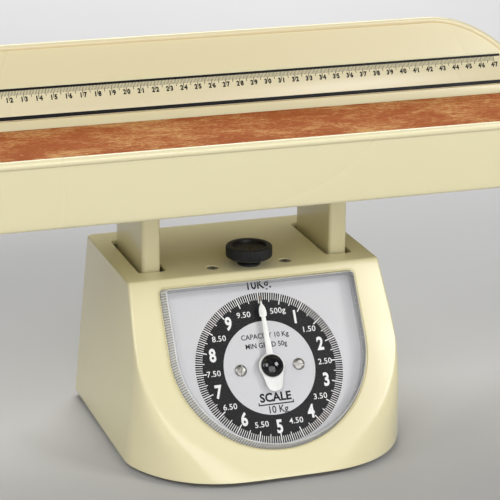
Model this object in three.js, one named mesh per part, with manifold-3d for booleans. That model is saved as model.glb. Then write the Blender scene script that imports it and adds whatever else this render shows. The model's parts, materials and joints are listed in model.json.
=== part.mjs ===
// Spring baby scale: a trough tray on two posts, a carriage hung on two springs
// inside a sloping housing, and a rack and pinion that turns the dial pointer.
// Millimetres, +Z up, X to the right, the dial faces -Y.
// Origin: the middle of the footprint, on the surface that the feet stand on.

import * as THREE from 'three';
import { mergeVertices } from 'three/addons/utils/BufferGeometryUtils.js';
import Module from 'manifold-3d';

const wasm = await Module();
wasm.setup();

// ---------------------------------------------------------------- driving sizes

const GAP = 0.3; // between pieces that rest on or pass through each other

// Screws: shank radii, the usual head, and the usual countersunk depth
const M3 = 1.5;
const M4 = 2;
const M4_HEAD = 3.6;
const FLAT_HEAD_DEPTH = 1.8;

// Housing
const FOOT_HEIGHT = 4;
const HOUSING_HEIGHT = 111;
const HOUSING_WALL = 2.5;
const TOP_HALF_WIDTH = 82.6;
const TOP_FRONT_Y = -50;
const TOP_REAR_Y = 51.8;
const SIDE_FLARE = 7.9; // how much wider each side is at the bottom edge
const REAR_FLARE = 9.5;
const PANEL_TILT = THREE.MathUtils.degToRad(32); // dial panel, from the vertical
const CORNER_RADIUS = 2; // vertical corners beside the flat panel
const CORNER_SWEEP = 49; // how far back the front corners reach at the bottom
const CREASE_RADIUS = 85; // arc that ends the flat panel
const CREASE_CENTRE = 38; // from the top edge, down the panel
const CREASE_TANGENT = 0.8; // share of the radius where the arc runs on straight
const MIN_FLAT = 3;
const CORNER_STOP = THREE.MathUtils.degToRad(27); // where the corner curve meets the side, as a soft edge

// Dial window, cover and dial
const WINDOW_HALF_WIDTH = 63.8;
const WINDOW_TOP = 6.1; // from the top edge, down the panel
const WINDOW_CORNER = 3;
const WINDOW_ARC_CENTRE = 49.3;
const COVER_WALL = 1.8;
const COVER_PROUD = 7;
const COVER_DRAFT = Math.tan(THREE.MathUtils.degToRad(15));
const DIAL_CENTRE = 61.3; // from the top edge, down the panel
const DIAL_RECESS = 4.5;
const DIAL_THICKNESS = 1;
const DIAL_MARGIN = 3; // how far the dial plate reaches past the window
const DIAL_SCREW_X = 19;
const DIAL_SCREW_HEAD = 3.75;

// Pointer and its shaft
const POINTER_LENGTH = 44.5;
const POINTER_TAIL = 15.8;
const POINTER_DISC = 8.2;
const POINTER_THICKNESS = 0.8;
const POINTER_HEIGHT = 4; // underside of the pointer, above the dial
const HUB_RADIUS = 7.2;
const HUB_HEIGHT = 4.2;
const SHAFT_RADIUS = 1.2;
const BUSH_WALL = 2;

// Movement
const TRAVEL = 20; // carriage, from empty to full load
const PINION_TEETH = 12;
const TOOTH_DEPTH = 1;
const RACK_FACE = 6;
const RACK_WIDTH = 5;

// Carriage, posts and guide arms
const POST_X = 62;
const POST_WIDTH = 12;
const POST_DEPTH = 62;
const POST_WALL = 2;
const POST_CORNER = 2.5;
const SLOT_CLEARANCE_X = 2.8;
const SLOT_CLEARANCE_Y = 3.5;
const YOKE_Z = 31;
const SHEET = 2; // sheet steel of the yoke, chassis, bracket and arms
const ARM_LENGTH = 56;
const ARM_REAR_Y = 38;
const UPPER_ARM_Z = 86; // rear pins
const LOWER_ARM_Z = 44;
const PIN_RADIUS = 2;
const LUG_X = 37;

// Chassis
const CHEEK_X = 45;
const CHASSIS_HALF_DEPTH = 44;
const LEG_DEPTH = 12;

// Springs and zero adjustment
const KNOB_Y = -37;
const KNOB_RADIUS = 14.7;
const KNOB_HEIGHT = 12.5;
const KNOB_NECK = 6;
const KNOB_FLANGE = 7.4;
const SPINDLE_RADIUS = 3;
const SPRING_X = 20;
const SPRING_RADIUS = 4.6;
const WIRE_RADIUS = 0.7;
const SPRING_TURNS = 10;
const HANGER_Z = 98;
const HANGER_HEIGHT = 4;
const TOP_SCREW_X = 24;

// Tray
const TRAY_LENGTH = 530;
const TRAY_DEPTH = 246;
const TRAY_CLEARANCE = 58.5; // underside of the tray above the housing
const TRAY_WALL = 2.5;
const FRONT_RIM = 43; // rims above the underside of the tray
const REAR_RIM = 54.5;
const END_RIM = 18;
const FRONT_LEAN = Math.tan(THREE.MathUtils.degToRad(12.5));
const REAR_LEAN = Math.tan(THREE.MathUtils.degToRad(29.6));
const END_LEAN = Math.tan(THREE.MathUtils.degToRad(24));
const TRAY_CORNER = 20;
const SHOULDER_START = 184; // where the long rims begin to fall
const SHOULDER_RADIUS = 78;
const BEAD_RADIUS = 2.6;
const MAT_THICKNESS = 3.6;
const MAT_CLEARANCE = 3;
const RULER_HALF_LENGTH = 238;
const RULER_WIDTH = 22.6;
const RULER_THICKNESS = 0.8;
const RULER_LOW = 10.4; // lower edge, above the underside of the tray

// ---------------------------------------------------------------- derived sizes

const BOTTOM_Z = FOOT_HEIGHT;
const TOP_Z = FOOT_HEIGHT + HOUSING_HEIGHT;
const COS = Math.cos(PANEL_TILT);
const SIN = Math.sin(PANEL_TILT);
const TAN = Math.tan(PANEL_TILT);
const PANEL_LENGTH = HOUSING_HEIGHT / COS;
const RACK_TRAVEL = TRAVEL * COS;
const PITCH_RADIUS = RACK_TRAVEL / (2 * Math.PI);
const TRAY_Z = TOP_Z + TRAY_CLEARANCE;
const POST_TOP = TRAY_Z - GAP;
const ARM_RISE = TRAVEL / 2;
const ARM_REACH = Math.sqrt(ARM_LENGTH ** 2 - ARM_RISE ** 2);
const ARM_FRONT_Y = ARM_REAR_Y - ARM_REACH;
const CHASSIS_TOP = TOP_Z - HOUSING_WALL - GAP;
const SHAFT_HOLE = SHAFT_RADIUS + GAP;

// ---------------------------------------------------------------- materials

function finish(color, roughness, metalness) {
  return new THREE.MeshStandardMaterial({ color, roughness, metalness });
}

const CREAM = () => finish(0xf3edc8, 0.3, 0);
const STEEL = () => finish(0xa9abad, 0.35, 0.9);
const ZINC = () => finish(0xb9b6aa, 0.4, 0.85);
const BRASS = () => finish(0xb9934f, 0.35, 0.9);
const BLACK = () => finish(0x16171a, 0.4, 0);
const WHITE = () => finish(0xf4f4f2, 0.35, 0);
const RUBBER = () => finish(0x1f1f20, 0.8, 0);

// ---------------------------------------------------------------- solid helpers

function solidFrom(geometry) {
  const plain = geometry.clone();
  plain.deleteAttribute('normal');
  plain.deleteAttribute('uv');
  const merged = mergeVertices(plain, 1e-4);
  return new wasm.Manifold(new wasm.Mesh({
    numProp: 3,
    vertProperties: new Float32Array(merged.attributes.position.array),
    triVerts: new Uint32Array(merged.index.array),
  }));
}

function geometryFrom(solid) {
  const mesh = solid.getMesh();
  const geometry = new THREE.BufferGeometry();
  geometry.setAttribute('position', new THREE.BufferAttribute(new Float32Array(mesh.vertProperties), 3));
  geometry.setIndex(new THREE.BufferAttribute(new Uint32Array(mesh.triVerts), 1));
  geometry.computeVertexNormals();
  return geometry;
}

function combine(solids) {
  return solids.reduce((whole, solid) => whole.add(solid));
}

function cutAll(solid, cutters) {
  return cutters.reduce((rest, cutter) => rest.subtract(cutter), solid);
}

// A box between two corners.
function block(x0, x1, y0, y1, z0, z1) {
  const geometry = new THREE.BoxGeometry(x1 - x0, y1 - y0, z1 - z0);
  geometry.translate((x0 + x1) / 2, (y0 + y1) / 2, (z0 + z1) / 2);
  return solidFrom(geometry);
}

// A closed ring or rod turned about Z from [radius, height] pairs.
function turned(profile, sides = 16) {
  const points = profile.map(([radius, height]) => new THREE.Vector2(radius, height));
  const geometry = new THREE.LatheGeometry(points, sides);
  geometry.rotateX(Math.PI / 2);
  return solidFrom(geometry);
}

function rod(radius, z0, z1, sides = 16) {
  return turned([[0, z0], [radius, z0], [radius, z1], [0, z1]], sides);
}

function ring(outer, inner, z0, z1, sides = 16) {
  return turned([[inner, z0], [outer, z0], [outer, z1], [inner, z1], [inner, z0]], sides);
}

// A rod along X.
function crossRod(radius, x0, x1, y, z, sides = 12) {
  return rod(radius, x0, x1, sides).rotate([0, 90, 0]).translate([0, y, z]);
}

// A flat plate: an outline in its own plane, from z0 to z1.
function plate(outline, z0, z1, curveSegments = 6) {
  const shape = outline instanceof THREE.Shape
    ? outline
    : new THREE.Shape(outline.map(([x, y]) => new THREE.Vector2(x, y)));
  const geometry = new THREE.ExtrudeGeometry(shape, { depth: z1 - z0, bevelEnabled: false, curveSegments });
  geometry.translate(0, 0, z0);
  return solidFrom(geometry);
}

// A plate standing in the YZ plane, its outline given as [y, z] pairs.
function sidePlate(outline, x0, x1) {
  const turn = new THREE.Matrix4().makeBasis(
    new THREE.Vector3(0, 1, 0),
    new THREE.Vector3(0, 0, 1),
    new THREE.Vector3(1, 0, 0),
  );
  const shape = new THREE.Shape(outline.map(([y, z]) => new THREE.Vector2(y, z)));
  const geometry = new THREE.ExtrudeGeometry(shape, { depth: x1 - x0, bevelEnabled: false });
  geometry.translate(0, 0, x0);
  geometry.applyMatrix4(turn);
  return solidFrom(geometry);
}

function roundedRectangle(halfX, y0, y1, radius) {
  const shape = new THREE.Shape();
  shape.moveTo(-halfX + radius, y0);
  shape.lineTo(halfX - radius, y0);
  shape.absarc(halfX - radius, y0 + radius, radius, -Math.PI / 2, 0, false);
  shape.lineTo(halfX, y1 - radius);
  shape.absarc(halfX - radius, y1 - radius, radius, 0, Math.PI / 2, false);
  shape.lineTo(-halfX + radius, y1);
  shape.absarc(-halfX + radius, y1 - radius, radius, Math.PI / 2, Math.PI, false);
  shape.lineTo(-halfX, y0 + radius);
  shape.absarc(-halfX + radius, y0 + radius, radius, Math.PI, 1.5 * Math.PI, false);
  return shape;
}

// A solid through outlines of equal point counts, one at each height.
function loft(heights, outlineAt) {
  const key = (x, y) => `${Math.fround(x).toFixed(3)},${Math.fround(y).toFixed(3)}`;
  const outlines = heights.map(outlineAt);
  const order = new Map(outlines[0].map((point, index) => [key(point.x, point.y), index]));
  const steps = heights.length - 1;
  const shape = new THREE.Shape(outlines[0]);
  const geometry = new THREE.ExtrudeGeometry(shape, { depth: steps, steps, bevelEnabled: false });
  const position = geometry.attributes.position;
  for (let i = 0; i < position.count; i += 1) {
    const level = Math.round(position.getZ(i));
    const point = outlines[level][order.get(key(position.getX(i), position.getY(i)))];
    position.setXYZ(i, point.x, point.y, heights[level]);
  }
  return solidFrom(geometry);
}

// The panel frame: its origin is the dial centre on the outside of the panel,
// x is the part's X, y runs up the panel and z points out of it.
const PANEL_PLACE = new THREE.Matrix4().makeBasis(
  new THREE.Vector3(1, 0, 0),
  new THREE.Vector3(0, SIN, COS),
  new THREE.Vector3(0, -COS, SIN),
).setPosition(0, TOP_FRONT_Y - DIAL_CENTRE * SIN, TOP_Z - DIAL_CENTRE * COS);

function onPanel(solid) {
  return solid.transform(PANEL_PLACE.toArray());
}

// The [y, z] place in the part of a point given in the panel frame.
function panelPoint(up, out) {
  const point = new THREE.Vector3(0, up, out).applyMatrix4(PANEL_PLACE);
  return [point.y, point.z];
}

const model = new THREE.Group();

function addPiece(name, solid, material) {
  const mesh = new THREE.Mesh(geometryFrom(solid), material);
  mesh.name = name;
  model.add(mesh);
  return mesh;
}

// A pan or countersunk screw, its head upwards, the underside of the head at z = 0.
function panScrew(shankRadius, headRadius, headHeight, length) {
  const slot = block(-headRadius - 1, headRadius + 1, -0.5, 0.5, headHeight * 0.55, headHeight + 1);
  return turned([
    [0, -length], [shankRadius, -length], [shankRadius, 0], [headRadius, 0],
    [headRadius, headHeight * 0.5], [headRadius * 0.7, headHeight], [0, headHeight],
  ], 12).subtract(slot);
}

function flatScrew(shankRadius, headRadius, headHeight, length) {
  const crossA = block(-headRadius * 0.55, headRadius * 0.55, -0.4, 0.4, -headHeight * 0.6, 1);
  const crossB = crossA.rotate([0, 0, 90]);
  return turned([
    [0, -length], [shankRadius, -length], [shankRadius, -headHeight], [headRadius, 0], [0, 0],
  ], 12).subtract(crossA).subtract(crossB);
}

function countersink(shankRadius, headRadius, headHeight, depth) {
  return turned([
    [0, -depth], [shankRadius + GAP, -depth], [shankRadius + GAP, -headHeight - GAP],
    [headRadius + GAP, -GAP], [headRadius + GAP, 1], [0, 1],
  ], 12);
}

// ---------------------------------------------------------------- housing

const CORNER_STEPS = 7;
const CORNER_POWER = 2 / 2.5; // a superellipse a little fuller than an ellipse
const REAR_CORNER_STEPS = 3;

// The housing's outline at a height, moved inwards by inset.
function housingOutline(z, inset) {
  const drop = Math.min(Math.max(TOP_Z - z, 0), HOUSING_HEIGHT);
  const share = drop / HOUSING_HEIGHT;
  const along = drop / COS;
  const side = TOP_HALF_WIDTH + SIDE_FLARE * share - inset;
  const rear = TOP_REAR_Y + REAR_FLARE * share - inset;
  const front = TOP_FRONT_Y - drop * TAN + inset / COS;
  const past = Math.max(0, along - CREASE_CENTRE);
  const turn = Math.min(past, CREASE_RADIUS * CREASE_TANGENT);
  const chord = Math.sqrt(CREASE_RADIUS ** 2 - turn ** 2);
  const arc = chord - ((past - turn) * turn) / chord;
  const flat = Math.max(MIN_FLAT, Math.min(arc, side - CORNER_RADIUS));
  const sweep = CORNER_RADIUS
    + (CORNER_SWEEP - CORNER_RADIUS) * (past / (PANEL_LENGTH - CREASE_CENTRE)) ** 1.25;
  const right = [];
  const across = Math.cos(CORNER_STOP) ** CORNER_POWER;
  const back = 1 - Math.sin(CORNER_STOP) ** CORNER_POWER;
  for (let i = 0; i <= CORNER_STEPS; i += 1) {
    const angle = Math.PI / 2 + (CORNER_STOP - Math.PI / 2) * (i / CORNER_STEPS);
    const x = flat + ((side - flat) * Math.cos(angle) ** CORNER_POWER) / across;
    const y = front + (sweep * (1 - Math.sin(angle) ** CORNER_POWER)) / back;
    right.push(new THREE.Vector2(x, y));
  }
  const radius = CORNER_RADIUS * 2;
  for (let i = 0; i <= REAR_CORNER_STEPS; i += 1) {
    const angle = (Math.PI / 2) * (i / REAR_CORNER_STEPS);
    const x = side - radius + radius * Math.cos(angle);
    const y = rear - radius + radius * Math.sin(angle);
    right.push(new THREE.Vector2(x, y));
  }
  const left = right.map((point) => new THREE.Vector2(-point.x, point.y)).reverse();
  return [...right, ...left];
}

function heightsBetween(low, high, count) {
  return Array.from({ length: count + 1 }, (_, i) => low + ((high - low) * i) / count);
}

// The window's outline in the panel frame, moved inwards by inset.
function windowShape(inset) {
  const half = WINDOW_HALF_WIDTH - inset;
  const top = DIAL_CENTRE - WINDOW_TOP - inset;
  const centre = DIAL_CENTRE - WINDOW_ARC_CENTRE;
  const corner = WINDOW_CORNER;
  const shape = new THREE.Shape();
  shape.moveTo(half, centre);
  shape.lineTo(half, top - corner);
  shape.absarc(half - corner, top - corner, corner, 0, Math.PI / 2, false);
  shape.lineTo(-half + corner, top);
  shape.absarc(-half + corner, top - corner, corner, Math.PI / 2, Math.PI, false);
  shape.lineTo(-half, centre);
  shape.absarc(0, centre, half, Math.PI, 2 * Math.PI, false);
  return shape;
}

const BOSS_X = 79;
const BOSS_REAR_Y = 44;
const BOSS_FRONT_Y = -46;
const BOSS_HALF = 5;
const BASE_Z = BOTTOM_Z + 1;
const BASE_CLEARANCE = 1.6;
const bossPlaces = [
  [-BOSS_X, BOSS_FRONT_Y], [BOSS_X, BOSS_FRONT_Y], [-BOSS_X, BOSS_REAR_Y], [BOSS_X, BOSS_REAR_Y],
];

function makeHousing() {
  const outer = loft(heightsBetween(BOTTOM_Z, TOP_Z, 10), (z) => housingOutline(z, 0));
  const inner = loft(
    heightsBetween(BOTTOM_Z - 2, TOP_Z - HOUSING_WALL, 10),
    (z) => housingOutline(z, HOUSING_WALL),
  );
  const bosses = bossPlaces.map(([x, y]) => {
    const inside = Math.abs(x) - BOSS_HALF;
    const outside = TOP_HALF_WIDTH + SIDE_FLARE + 5;
    const [x0, x1] = x > 0 ? [inside, outside] : [-outside, -inside];
    const boss = block(x0, x1, y - BOSS_HALF, y + BOSS_HALF, BASE_Z + SHEET + GAP, BASE_Z + 32);
    const hole = rod(M4 + GAP, BASE_Z, BASE_Z + 20, 12).translate([x, y, 0]);
    return boss.intersect(outer).subtract(hole);
  });
  const shell = combine([outer.subtract(inner), ...bosses]);
  const window = onPanel(plate(windowShape(0), -3 * HOUSING_WALL, 3 * HOUSING_WALL, 12));
  const slots = [-1, 1].map((side) => {
    const halfX = POST_WIDTH / 2 + SLOT_CLEARANCE_X;
    const halfY = POST_DEPTH / 2 + SLOT_CLEARANCE_Y;
    return plate(roundedRectangle(halfX, -halfY, halfY, 3), TOP_Z - 10, TOP_Z + 10)
      .translate([side * POST_X, 0, 0]);
  });
  const spindleHole = rod(SPINDLE_RADIUS + 1, TOP_Z - 10, TOP_Z + 10).translate([0, KNOB_Y, 0]);
  const screwHoles = [-1, 1].map((side) => countersink(M4, M4_HEAD, FLAT_HEAD_DEPTH, 10)
    .translate([side * TOP_SCREW_X, KNOB_Y, TOP_Z]));
  return cutAll(shell, [window, ...slots, spindleHole, ...screwHoles]);
}

addPiece('housing', makeHousing(), CREAM());

// ---------------------------------------------------------------- base and feet

function makeBasePlate() {
  const outline = housingOutline(BASE_Z + SHEET, HOUSING_WALL + BASE_CLEARANCE);
  const sheet = plate(new THREE.Shape(outline), BASE_Z, BASE_Z + SHEET);
  const holes = bossPlaces.map(([x, y]) => rod(M4 + GAP, 0, 20, 12).translate([x, y, 0]));
  return cutAll(sheet, holes);
}

addPiece('base_plate', makeBasePlate(), STEEL());

const FOOT_RADIUS = 9;
const FOOT_X = 62;
const FOOT_REAR_Y = 42;
const FOOT_FRONT_Y = -78;

function addFeetAndBaseScrews() {
  const feet = {
    foot_front_left: [-FOOT_X, FOOT_FRONT_Y],
    foot_front_right: [FOOT_X, FOOT_FRONT_Y],
    foot_rear_left: [-FOOT_X, FOOT_REAR_Y],
    foot_rear_right: [FOOT_X, FOOT_REAR_Y],
  };
  const foot = turned([
    [0, 0], [FOOT_RADIUS - 1, 0], [FOOT_RADIUS, 1], [FOOT_RADIUS - 0.8, BASE_Z - GAP], [0, BASE_Z - GAP],
  ]);
  for (const [name, [x, y]] of Object.entries(feet)) {
    addPiece(name, foot.translate([x, y, 0]), RUBBER());
  }
  const screw = panScrew(M4, M4_HEAD, 2, 16).rotate([180, 0, 0]);
  const names = ['front_left', 'front_right', 'rear_left', 'rear_right'];
  bossPlaces.forEach(([x, y], i) => {
    addPiece(`base_screw_${names[i]}`, screw.translate([x, y, BASE_Z - GAP]), ZINC());
  });
}

addFeetAndBaseScrews();

// ---------------------------------------------------------------- dial cover and dial

function makeDialCover() {
  const low = -DIAL_RECESS + GAP;
  const high = COVER_PROUD;
  const wallFoot = GAP + COVER_DRAFT * 0.2;
  const outlineAt = (extra) => (z) => {
    const inset = wallFoot + extra + Math.max(0, z) * COVER_DRAFT;
    return windowShape(inset).getPoints(10).slice(0, -1);
  };
  const outer = loft([low, 0, high], outlineAt(0));
  const inner = loft([low - 1, 0, high - COVER_WALL], outlineAt(COVER_WALL));
  return onPanel(outer.subtract(inner));
}

addPiece('dial_cover', makeDialCover(), finish(0xe8ecee, 0.1, 0));

const BRACKET_TOP = -DIAL_RECESS - DIAL_THICKNESS - GAP; // front of the bracket, in the panel frame
const SHAFT_FRONT_BUSH = SHAFT_HOLE + BUSH_WALL;

function dialScrewHole(side, z0, z1) {
  return rod(M3 + GAP, z0, z1, 12).translate([side * DIAL_SCREW_X, 0, 0]);
}

function makeDialPlate() {
  const sheet = plate(windowShape(-DIAL_MARGIN), -DIAL_RECESS - DIAL_THICKNESS, -DIAL_RECESS, 10);
  const centre = rod(SHAFT_FRONT_BUSH + GAP, -20, 20);
  return onPanel(cutAll(sheet, [centre, dialScrewHole(-1, -20, 20), dialScrewHole(1, -20, 20)]));
}

addPiece('dial_plate', makeDialPlate(), finish(0xe4e4e8, 0.4, 0));

const dialScrew = panScrew(M3, DIAL_SCREW_HEAD, 1.3, 6);
['dial_screw_left', 'dial_screw_right'].forEach((name, i) => {
  const side = i === 0 ? -1 : 1;
  const place = dialScrew.translate([side * DIAL_SCREW_X, 0, -DIAL_RECESS + GAP]);
  addPiece(name, onPanel(place), ZINC());
});

// ---------------------------------------------------------------- pointer, shaft and pinion

const POINTER_Z = -DIAL_RECESS + POINTER_HEIGHT;
const SHAFT_BACK = -30;

function makePointer() {
  const [tail, tip] = [POINTER_TAIL, POINTER_LENGTH];
  // Half of the outline as [x, y], from the tail to the tip.
  const right = [[0.8, -tail], [2.4, -tail + 0.3], [3.8, -tail + 1.2]];
  right.push([4.7, -tail + 2.6], [5.2, -tail + 4.2]);
  for (let angle = -0.55; angle < 1.31; angle += 0.155) {
    right.push([POINTER_DISC * Math.cos(angle), POINTER_DISC * Math.sin(angle)]);
  }
  right.push([1.95, POINTER_DISC + 3], [1.3, tip - 13.2], [2.2, tip - 12.6], [2.4, tip - 11]);
  right.push([2.35, tip - 9.2], [1.9, tip - 7.2], [1.2, tip - 5.8], [0.6, tip - 5], [0.3, tip]);
  const left = right.map(([x, y]) => [-x, y]).reverse();
  const blade = plate([...right, ...left], POINTER_Z, POINTER_Z + POINTER_THICKNESS);
  return onPanel(blade.subtract(rod(SHAFT_HOLE, -20, 20)));
}

addPiece('pointer', makePointer(), WHITE());

function makeHubCap() {
  const low = POINTER_Z + POINTER_THICKNESS + GAP;
  const dome = [[0, low], [HUB_RADIUS, low]];
  for (let i = 0; i < 6; i += 1) {
    const angle = (Math.PI / 2) * (i / 6);
    dome.push([HUB_RADIUS * Math.cos(angle), low + 0.6 + (HUB_HEIGHT - 0.6) * Math.sin(angle)]);
  }
  dome.push([0, low + HUB_HEIGHT]);
  return onPanel(turned(dome, 20));
}

addPiece('hub_cap', makeHubCap(), BLACK());
addPiece('pointer_shaft', onPanel(rod(SHAFT_RADIUS, SHAFT_BACK, POINTER_Z + POINTER_THICKNESS, 16)), STEEL());

const PINION_MIDDLE = -18;

function gearOutline(teeth, pitchRadius, depth) {
  const points = [];
  const pitchAngle = (2 * Math.PI) / teeth;
  const profile = [[-0.34, -0.5], [-0.14, 0.5], [0.14, 0.5], [0.34, -0.5]];
  for (let i = 0; i < teeth; i += 1) {
    for (const [turn, height] of profile) {
      const angle = (i + turn) * pitchAngle;
      const radius = pitchRadius + height * depth;
      points.push([radius * Math.cos(angle), radius * Math.sin(angle)]);
    }
  }
  return points;
}

function makePinion() {
  const z0 = PINION_MIDDLE - RACK_FACE / 2;
  const wheel = plate(gearOutline(PINION_TEETH, PITCH_RADIUS, TOOTH_DEPTH), z0, z0 + RACK_FACE);
  return onPanel(wheel.subtract(rod(SHAFT_HOLE, -40, 40, 16)));
}

addPiece('pinion', makePinion(), BRASS());

// ---------------------------------------------------------------- rack

const RACK_CLEAR = 0.12; // side play between the teeth
const RACK_TOP = 34;
const RACK_BOTTOM = -12;
const FOOT_SLOT_LOW = -36;
const PIN_OUT = -20.5; // rack pin at rest, in the panel frame
const PIN_UP = -7;
const RACK_PIN_RADIUS = 1.5;
const RACK_FOOT_X = PITCH_RADIUS + TOOTH_DEPTH / 2 + RACK_CLEAR + RACK_WIDTH;

function makeRack() {
  const pitch = (2 * Math.PI * PITCH_RADIUS) / PINION_TEETH;
  const tip = PITCH_RADIUS - TOOTH_DEPTH / 2 + GAP + RACK_CLEAR;
  const root = tip + TOOTH_DEPTH;
  const outline = [[RACK_FOOT_X, RACK_BOTTOM], [RACK_FOOT_X, RACK_TOP], [root, RACK_TOP]];
  // The gap between two rack teeth faces the pinion tooth that lies on the X axis.
  const first = Math.ceil((RACK_TRAVEL + 3) / pitch);
  for (let i = first; i >= -2; i -= 1) {
    const middle = (i + 0.5) * pitch;
    outline.push([root, middle + pitch * 0.24], [tip, middle + pitch * 0.1]);
    outline.push([tip, middle - pitch * 0.1], [root, middle - pitch * 0.24]);
  }
  outline.push([root, RACK_BOTTOM]);
  const z0 = PINION_MIDDLE - RACK_FACE / 2;
  const bar = plate(outline, z0, z0 + RACK_FACE);
  const footX = RACK_FOOT_X - 0.5;
  const foot = block(footX, footX + SHEET + 0.5, -14, 0, FOOT_SLOT_LOW, z0 + RACK_FACE);
  const slot = combine([
    crossRod(RACK_PIN_RADIUS + GAP, 0, 40, PIN_UP, PIN_OUT + 0.5),
    crossRod(RACK_PIN_RADIUS + GAP, 0, 40, PIN_UP, PIN_OUT - TRAVEL * SIN - 0.5),
    block(RACK_FOOT_X + GAP, 40, PIN_UP - RACK_PIN_RADIUS - GAP, PIN_UP + RACK_PIN_RADIUS + GAP,
      PIN_OUT - TRAVEL * SIN - 0.5, PIN_OUT + 0.5),
  ]);
  const deepSlot = slot.add(slot.translate([-2, 0, 0]));
  return onPanel(bar.add(foot).subtract(deepSlot.intersect(block(RACK_FOOT_X - 0.4, 60, -30, 10, -60, 0))));
}

addPiece('rack', makeRack(), BRASS());

// ---------------------------------------------------------------- dial bracket, bushes and rack guide

const BRACKET_HALF_X = CHEEK_X - SHEET / 2 - GAP;
const BRACKET_HALF_UP = 16;
const REAR_PLATE_Z = -27;
const WEB_X = -28;
const WEB_HALF_UP = 8;
const EAR_HALF_UP = 6;
const EAR_BACK = -22;
const FRONT_BUSH_FLANGE = 1.2;
const BRACKET_SCREW_Z = -15;

function makeDialBracket() {
  const [halfX, halfUp, webUp, earUp] = [BRACKET_HALF_X, BRACKET_HALF_UP, WEB_HALF_UP, EAR_HALF_UP];
  const front = block(-halfX, halfX, -halfUp, halfUp, BRACKET_TOP - SHEET, BRACKET_TOP);
  const web = block(WEB_X - SHEET, WEB_X, -webUp, webUp, REAR_PLATE_Z, BRACKET_TOP);
  const rearEnd = SHAFT_FRONT_BUSH + 1.6;
  const rear = block(WEB_X - SHEET, rearEnd, -webUp, webUp, REAR_PLATE_Z, REAR_PLATE_Z + SHEET);
  const ears = [-1, 1].map((side) => {
    const [x0, x1] = [side * halfX, side * (halfX - SHEET)].sort((a, b) => a - b);
    return block(x0, x1, -earUp, earUp, EAR_BACK, BRACKET_TOP);
  });
  const bushHole = rod(SHAFT_FRONT_BUSH + GAP, -40, 10);
  const earHole = crossRod(M4 + GAP, -60, 60, 0, BRACKET_SCREW_Z);
  return onPanel(cutAll(combine([front, web, rear, ...ears]), [
    bushHole, earHole, dialScrewHole(-1, -12, 10), dialScrewHole(1, -12, 10),
  ]));
}

addPiece('dial_bracket', makeDialBracket(), STEEL());

function makeBush(z0, z1, flangeLow, flangeHigh) {
  const sleeve = ring(SHAFT_FRONT_BUSH, SHAFT_HOLE, z0, z1, 20);
  const flange = ring(SHAFT_FRONT_BUSH + 1.5, SHAFT_HOLE, flangeLow, flangeHigh, 20);
  return onPanel(sleeve.add(flange));
}

const frontBushBack = BRACKET_TOP - SHEET - GAP;
addPiece('front_bush', makeBush(frontBushBack - FRONT_BUSH_FLANGE, -DIAL_RECESS + 0.5,
  frontBushBack - FRONT_BUSH_FLANGE, frontBushBack), BRASS());
const rearBushFront = REAR_PLATE_Z + SHEET + GAP;
addPiece('rear_bush', makeBush(REAR_PLATE_Z - 1.5, rearBushFront + FRONT_BUSH_FLANGE,
  rearBushFront, rearBushFront + FRONT_BUSH_FLANGE), BRASS());

function makeRackGuide() {
  const x0 = RACK_FOOT_X + GAP;
  const guide = block(x0, x0 + 4, 6, 16, PINION_MIDDLE - RACK_FACE / 2, BRACKET_TOP - SHEET - GAP);
  return onPanel(guide);
}

addPiece('rack_guide', makeRackGuide(), WHITE());

// ---------------------------------------------------------------- chassis

function mirroredPair(solid) {
  return [solid, solid.mirror([1, 0, 0])];
}

function makeChassis() {
  const [flangeX, depth] = [CHEEK_X + SHEET / 2, CHASSIS_HALF_DEPTH];
  const flange = block(-flangeX, flangeX, -depth, depth, CHASSIS_TOP - SHEET, CHASSIS_TOP);
  const legFront = depth - LEG_DEPTH;
  const underside = YOKE_Z + SHEET + 3;
  const cheek = sidePlate([
    [depth, CHASSIS_TOP],
    [-depth, CHASSIS_TOP],
    panelPoint(50, -10),
    panelPoint(-9, -10),
    panelPoint(-9, -22),
    [-20, underside],
    [legFront, underside],
    [legFront, BASE_Z + SHEET + GAP],
    [depth, BASE_Z + SHEET + GAP],
  ], CHEEK_X - SHEET / 2, CHEEK_X + SHEET / 2);
  const lightening = crossRod(9, 0, 80, -8, 66, 20);
  const [screwY, screwZ] = panelPoint(0, BRACKET_SCREW_Z);
  const holes = [
    lightening,
    crossRod(PIN_RADIUS + GAP, 0, 80, ARM_REAR_Y, UPPER_ARM_Z),
    crossRod(PIN_RADIUS + GAP, 0, 80, ARM_REAR_Y, LOWER_ARM_Z),
    crossRod(M4 + GAP, 0, 80, screwY, screwZ),
  ];
  const cheeks = mirroredPair(cutAll(cheek, holes));
  const spindleHole = rod(SPINDLE_RADIUS + 1, 0, 200).translate([0, KNOB_Y, 0]);
  const screwHoles = [-1, 1].map((side) => rod(M4 + GAP, 0, 200, 16)
    .translate([side * TOP_SCREW_X, KNOB_Y, 0]));
  return cutAll(combine([flange, ...cheeks]), [spindleHole, ...screwHoles]);
}

addPiece('chassis', makeChassis(), STEEL());

[-1, 1].forEach((side) => {
  const name = side < 0 ? 'left' : 'right';
  const top = flatScrew(M4, M4_HEAD, FLAT_HEAD_DEPTH, 9)
    .translate([side * TOP_SCREW_X, KNOB_Y, TOP_Z - GAP]);
  addPiece(`top_screw_${name}`, top, ZINC());
  const [screwY, screwZ] = panelPoint(0, BRACKET_SCREW_Z);
  const bracketScrew = panScrew(M4, M4_HEAD, 2, 7).rotate([0, side * 90, 0])
    .translate([side * (CHEEK_X + SHEET / 2 + GAP), screwY, screwZ]);
  addPiece(`bracket_screw_${name}`, bracketScrew, ZINC());
});

// ---------------------------------------------------------------- carriage and posts

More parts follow.
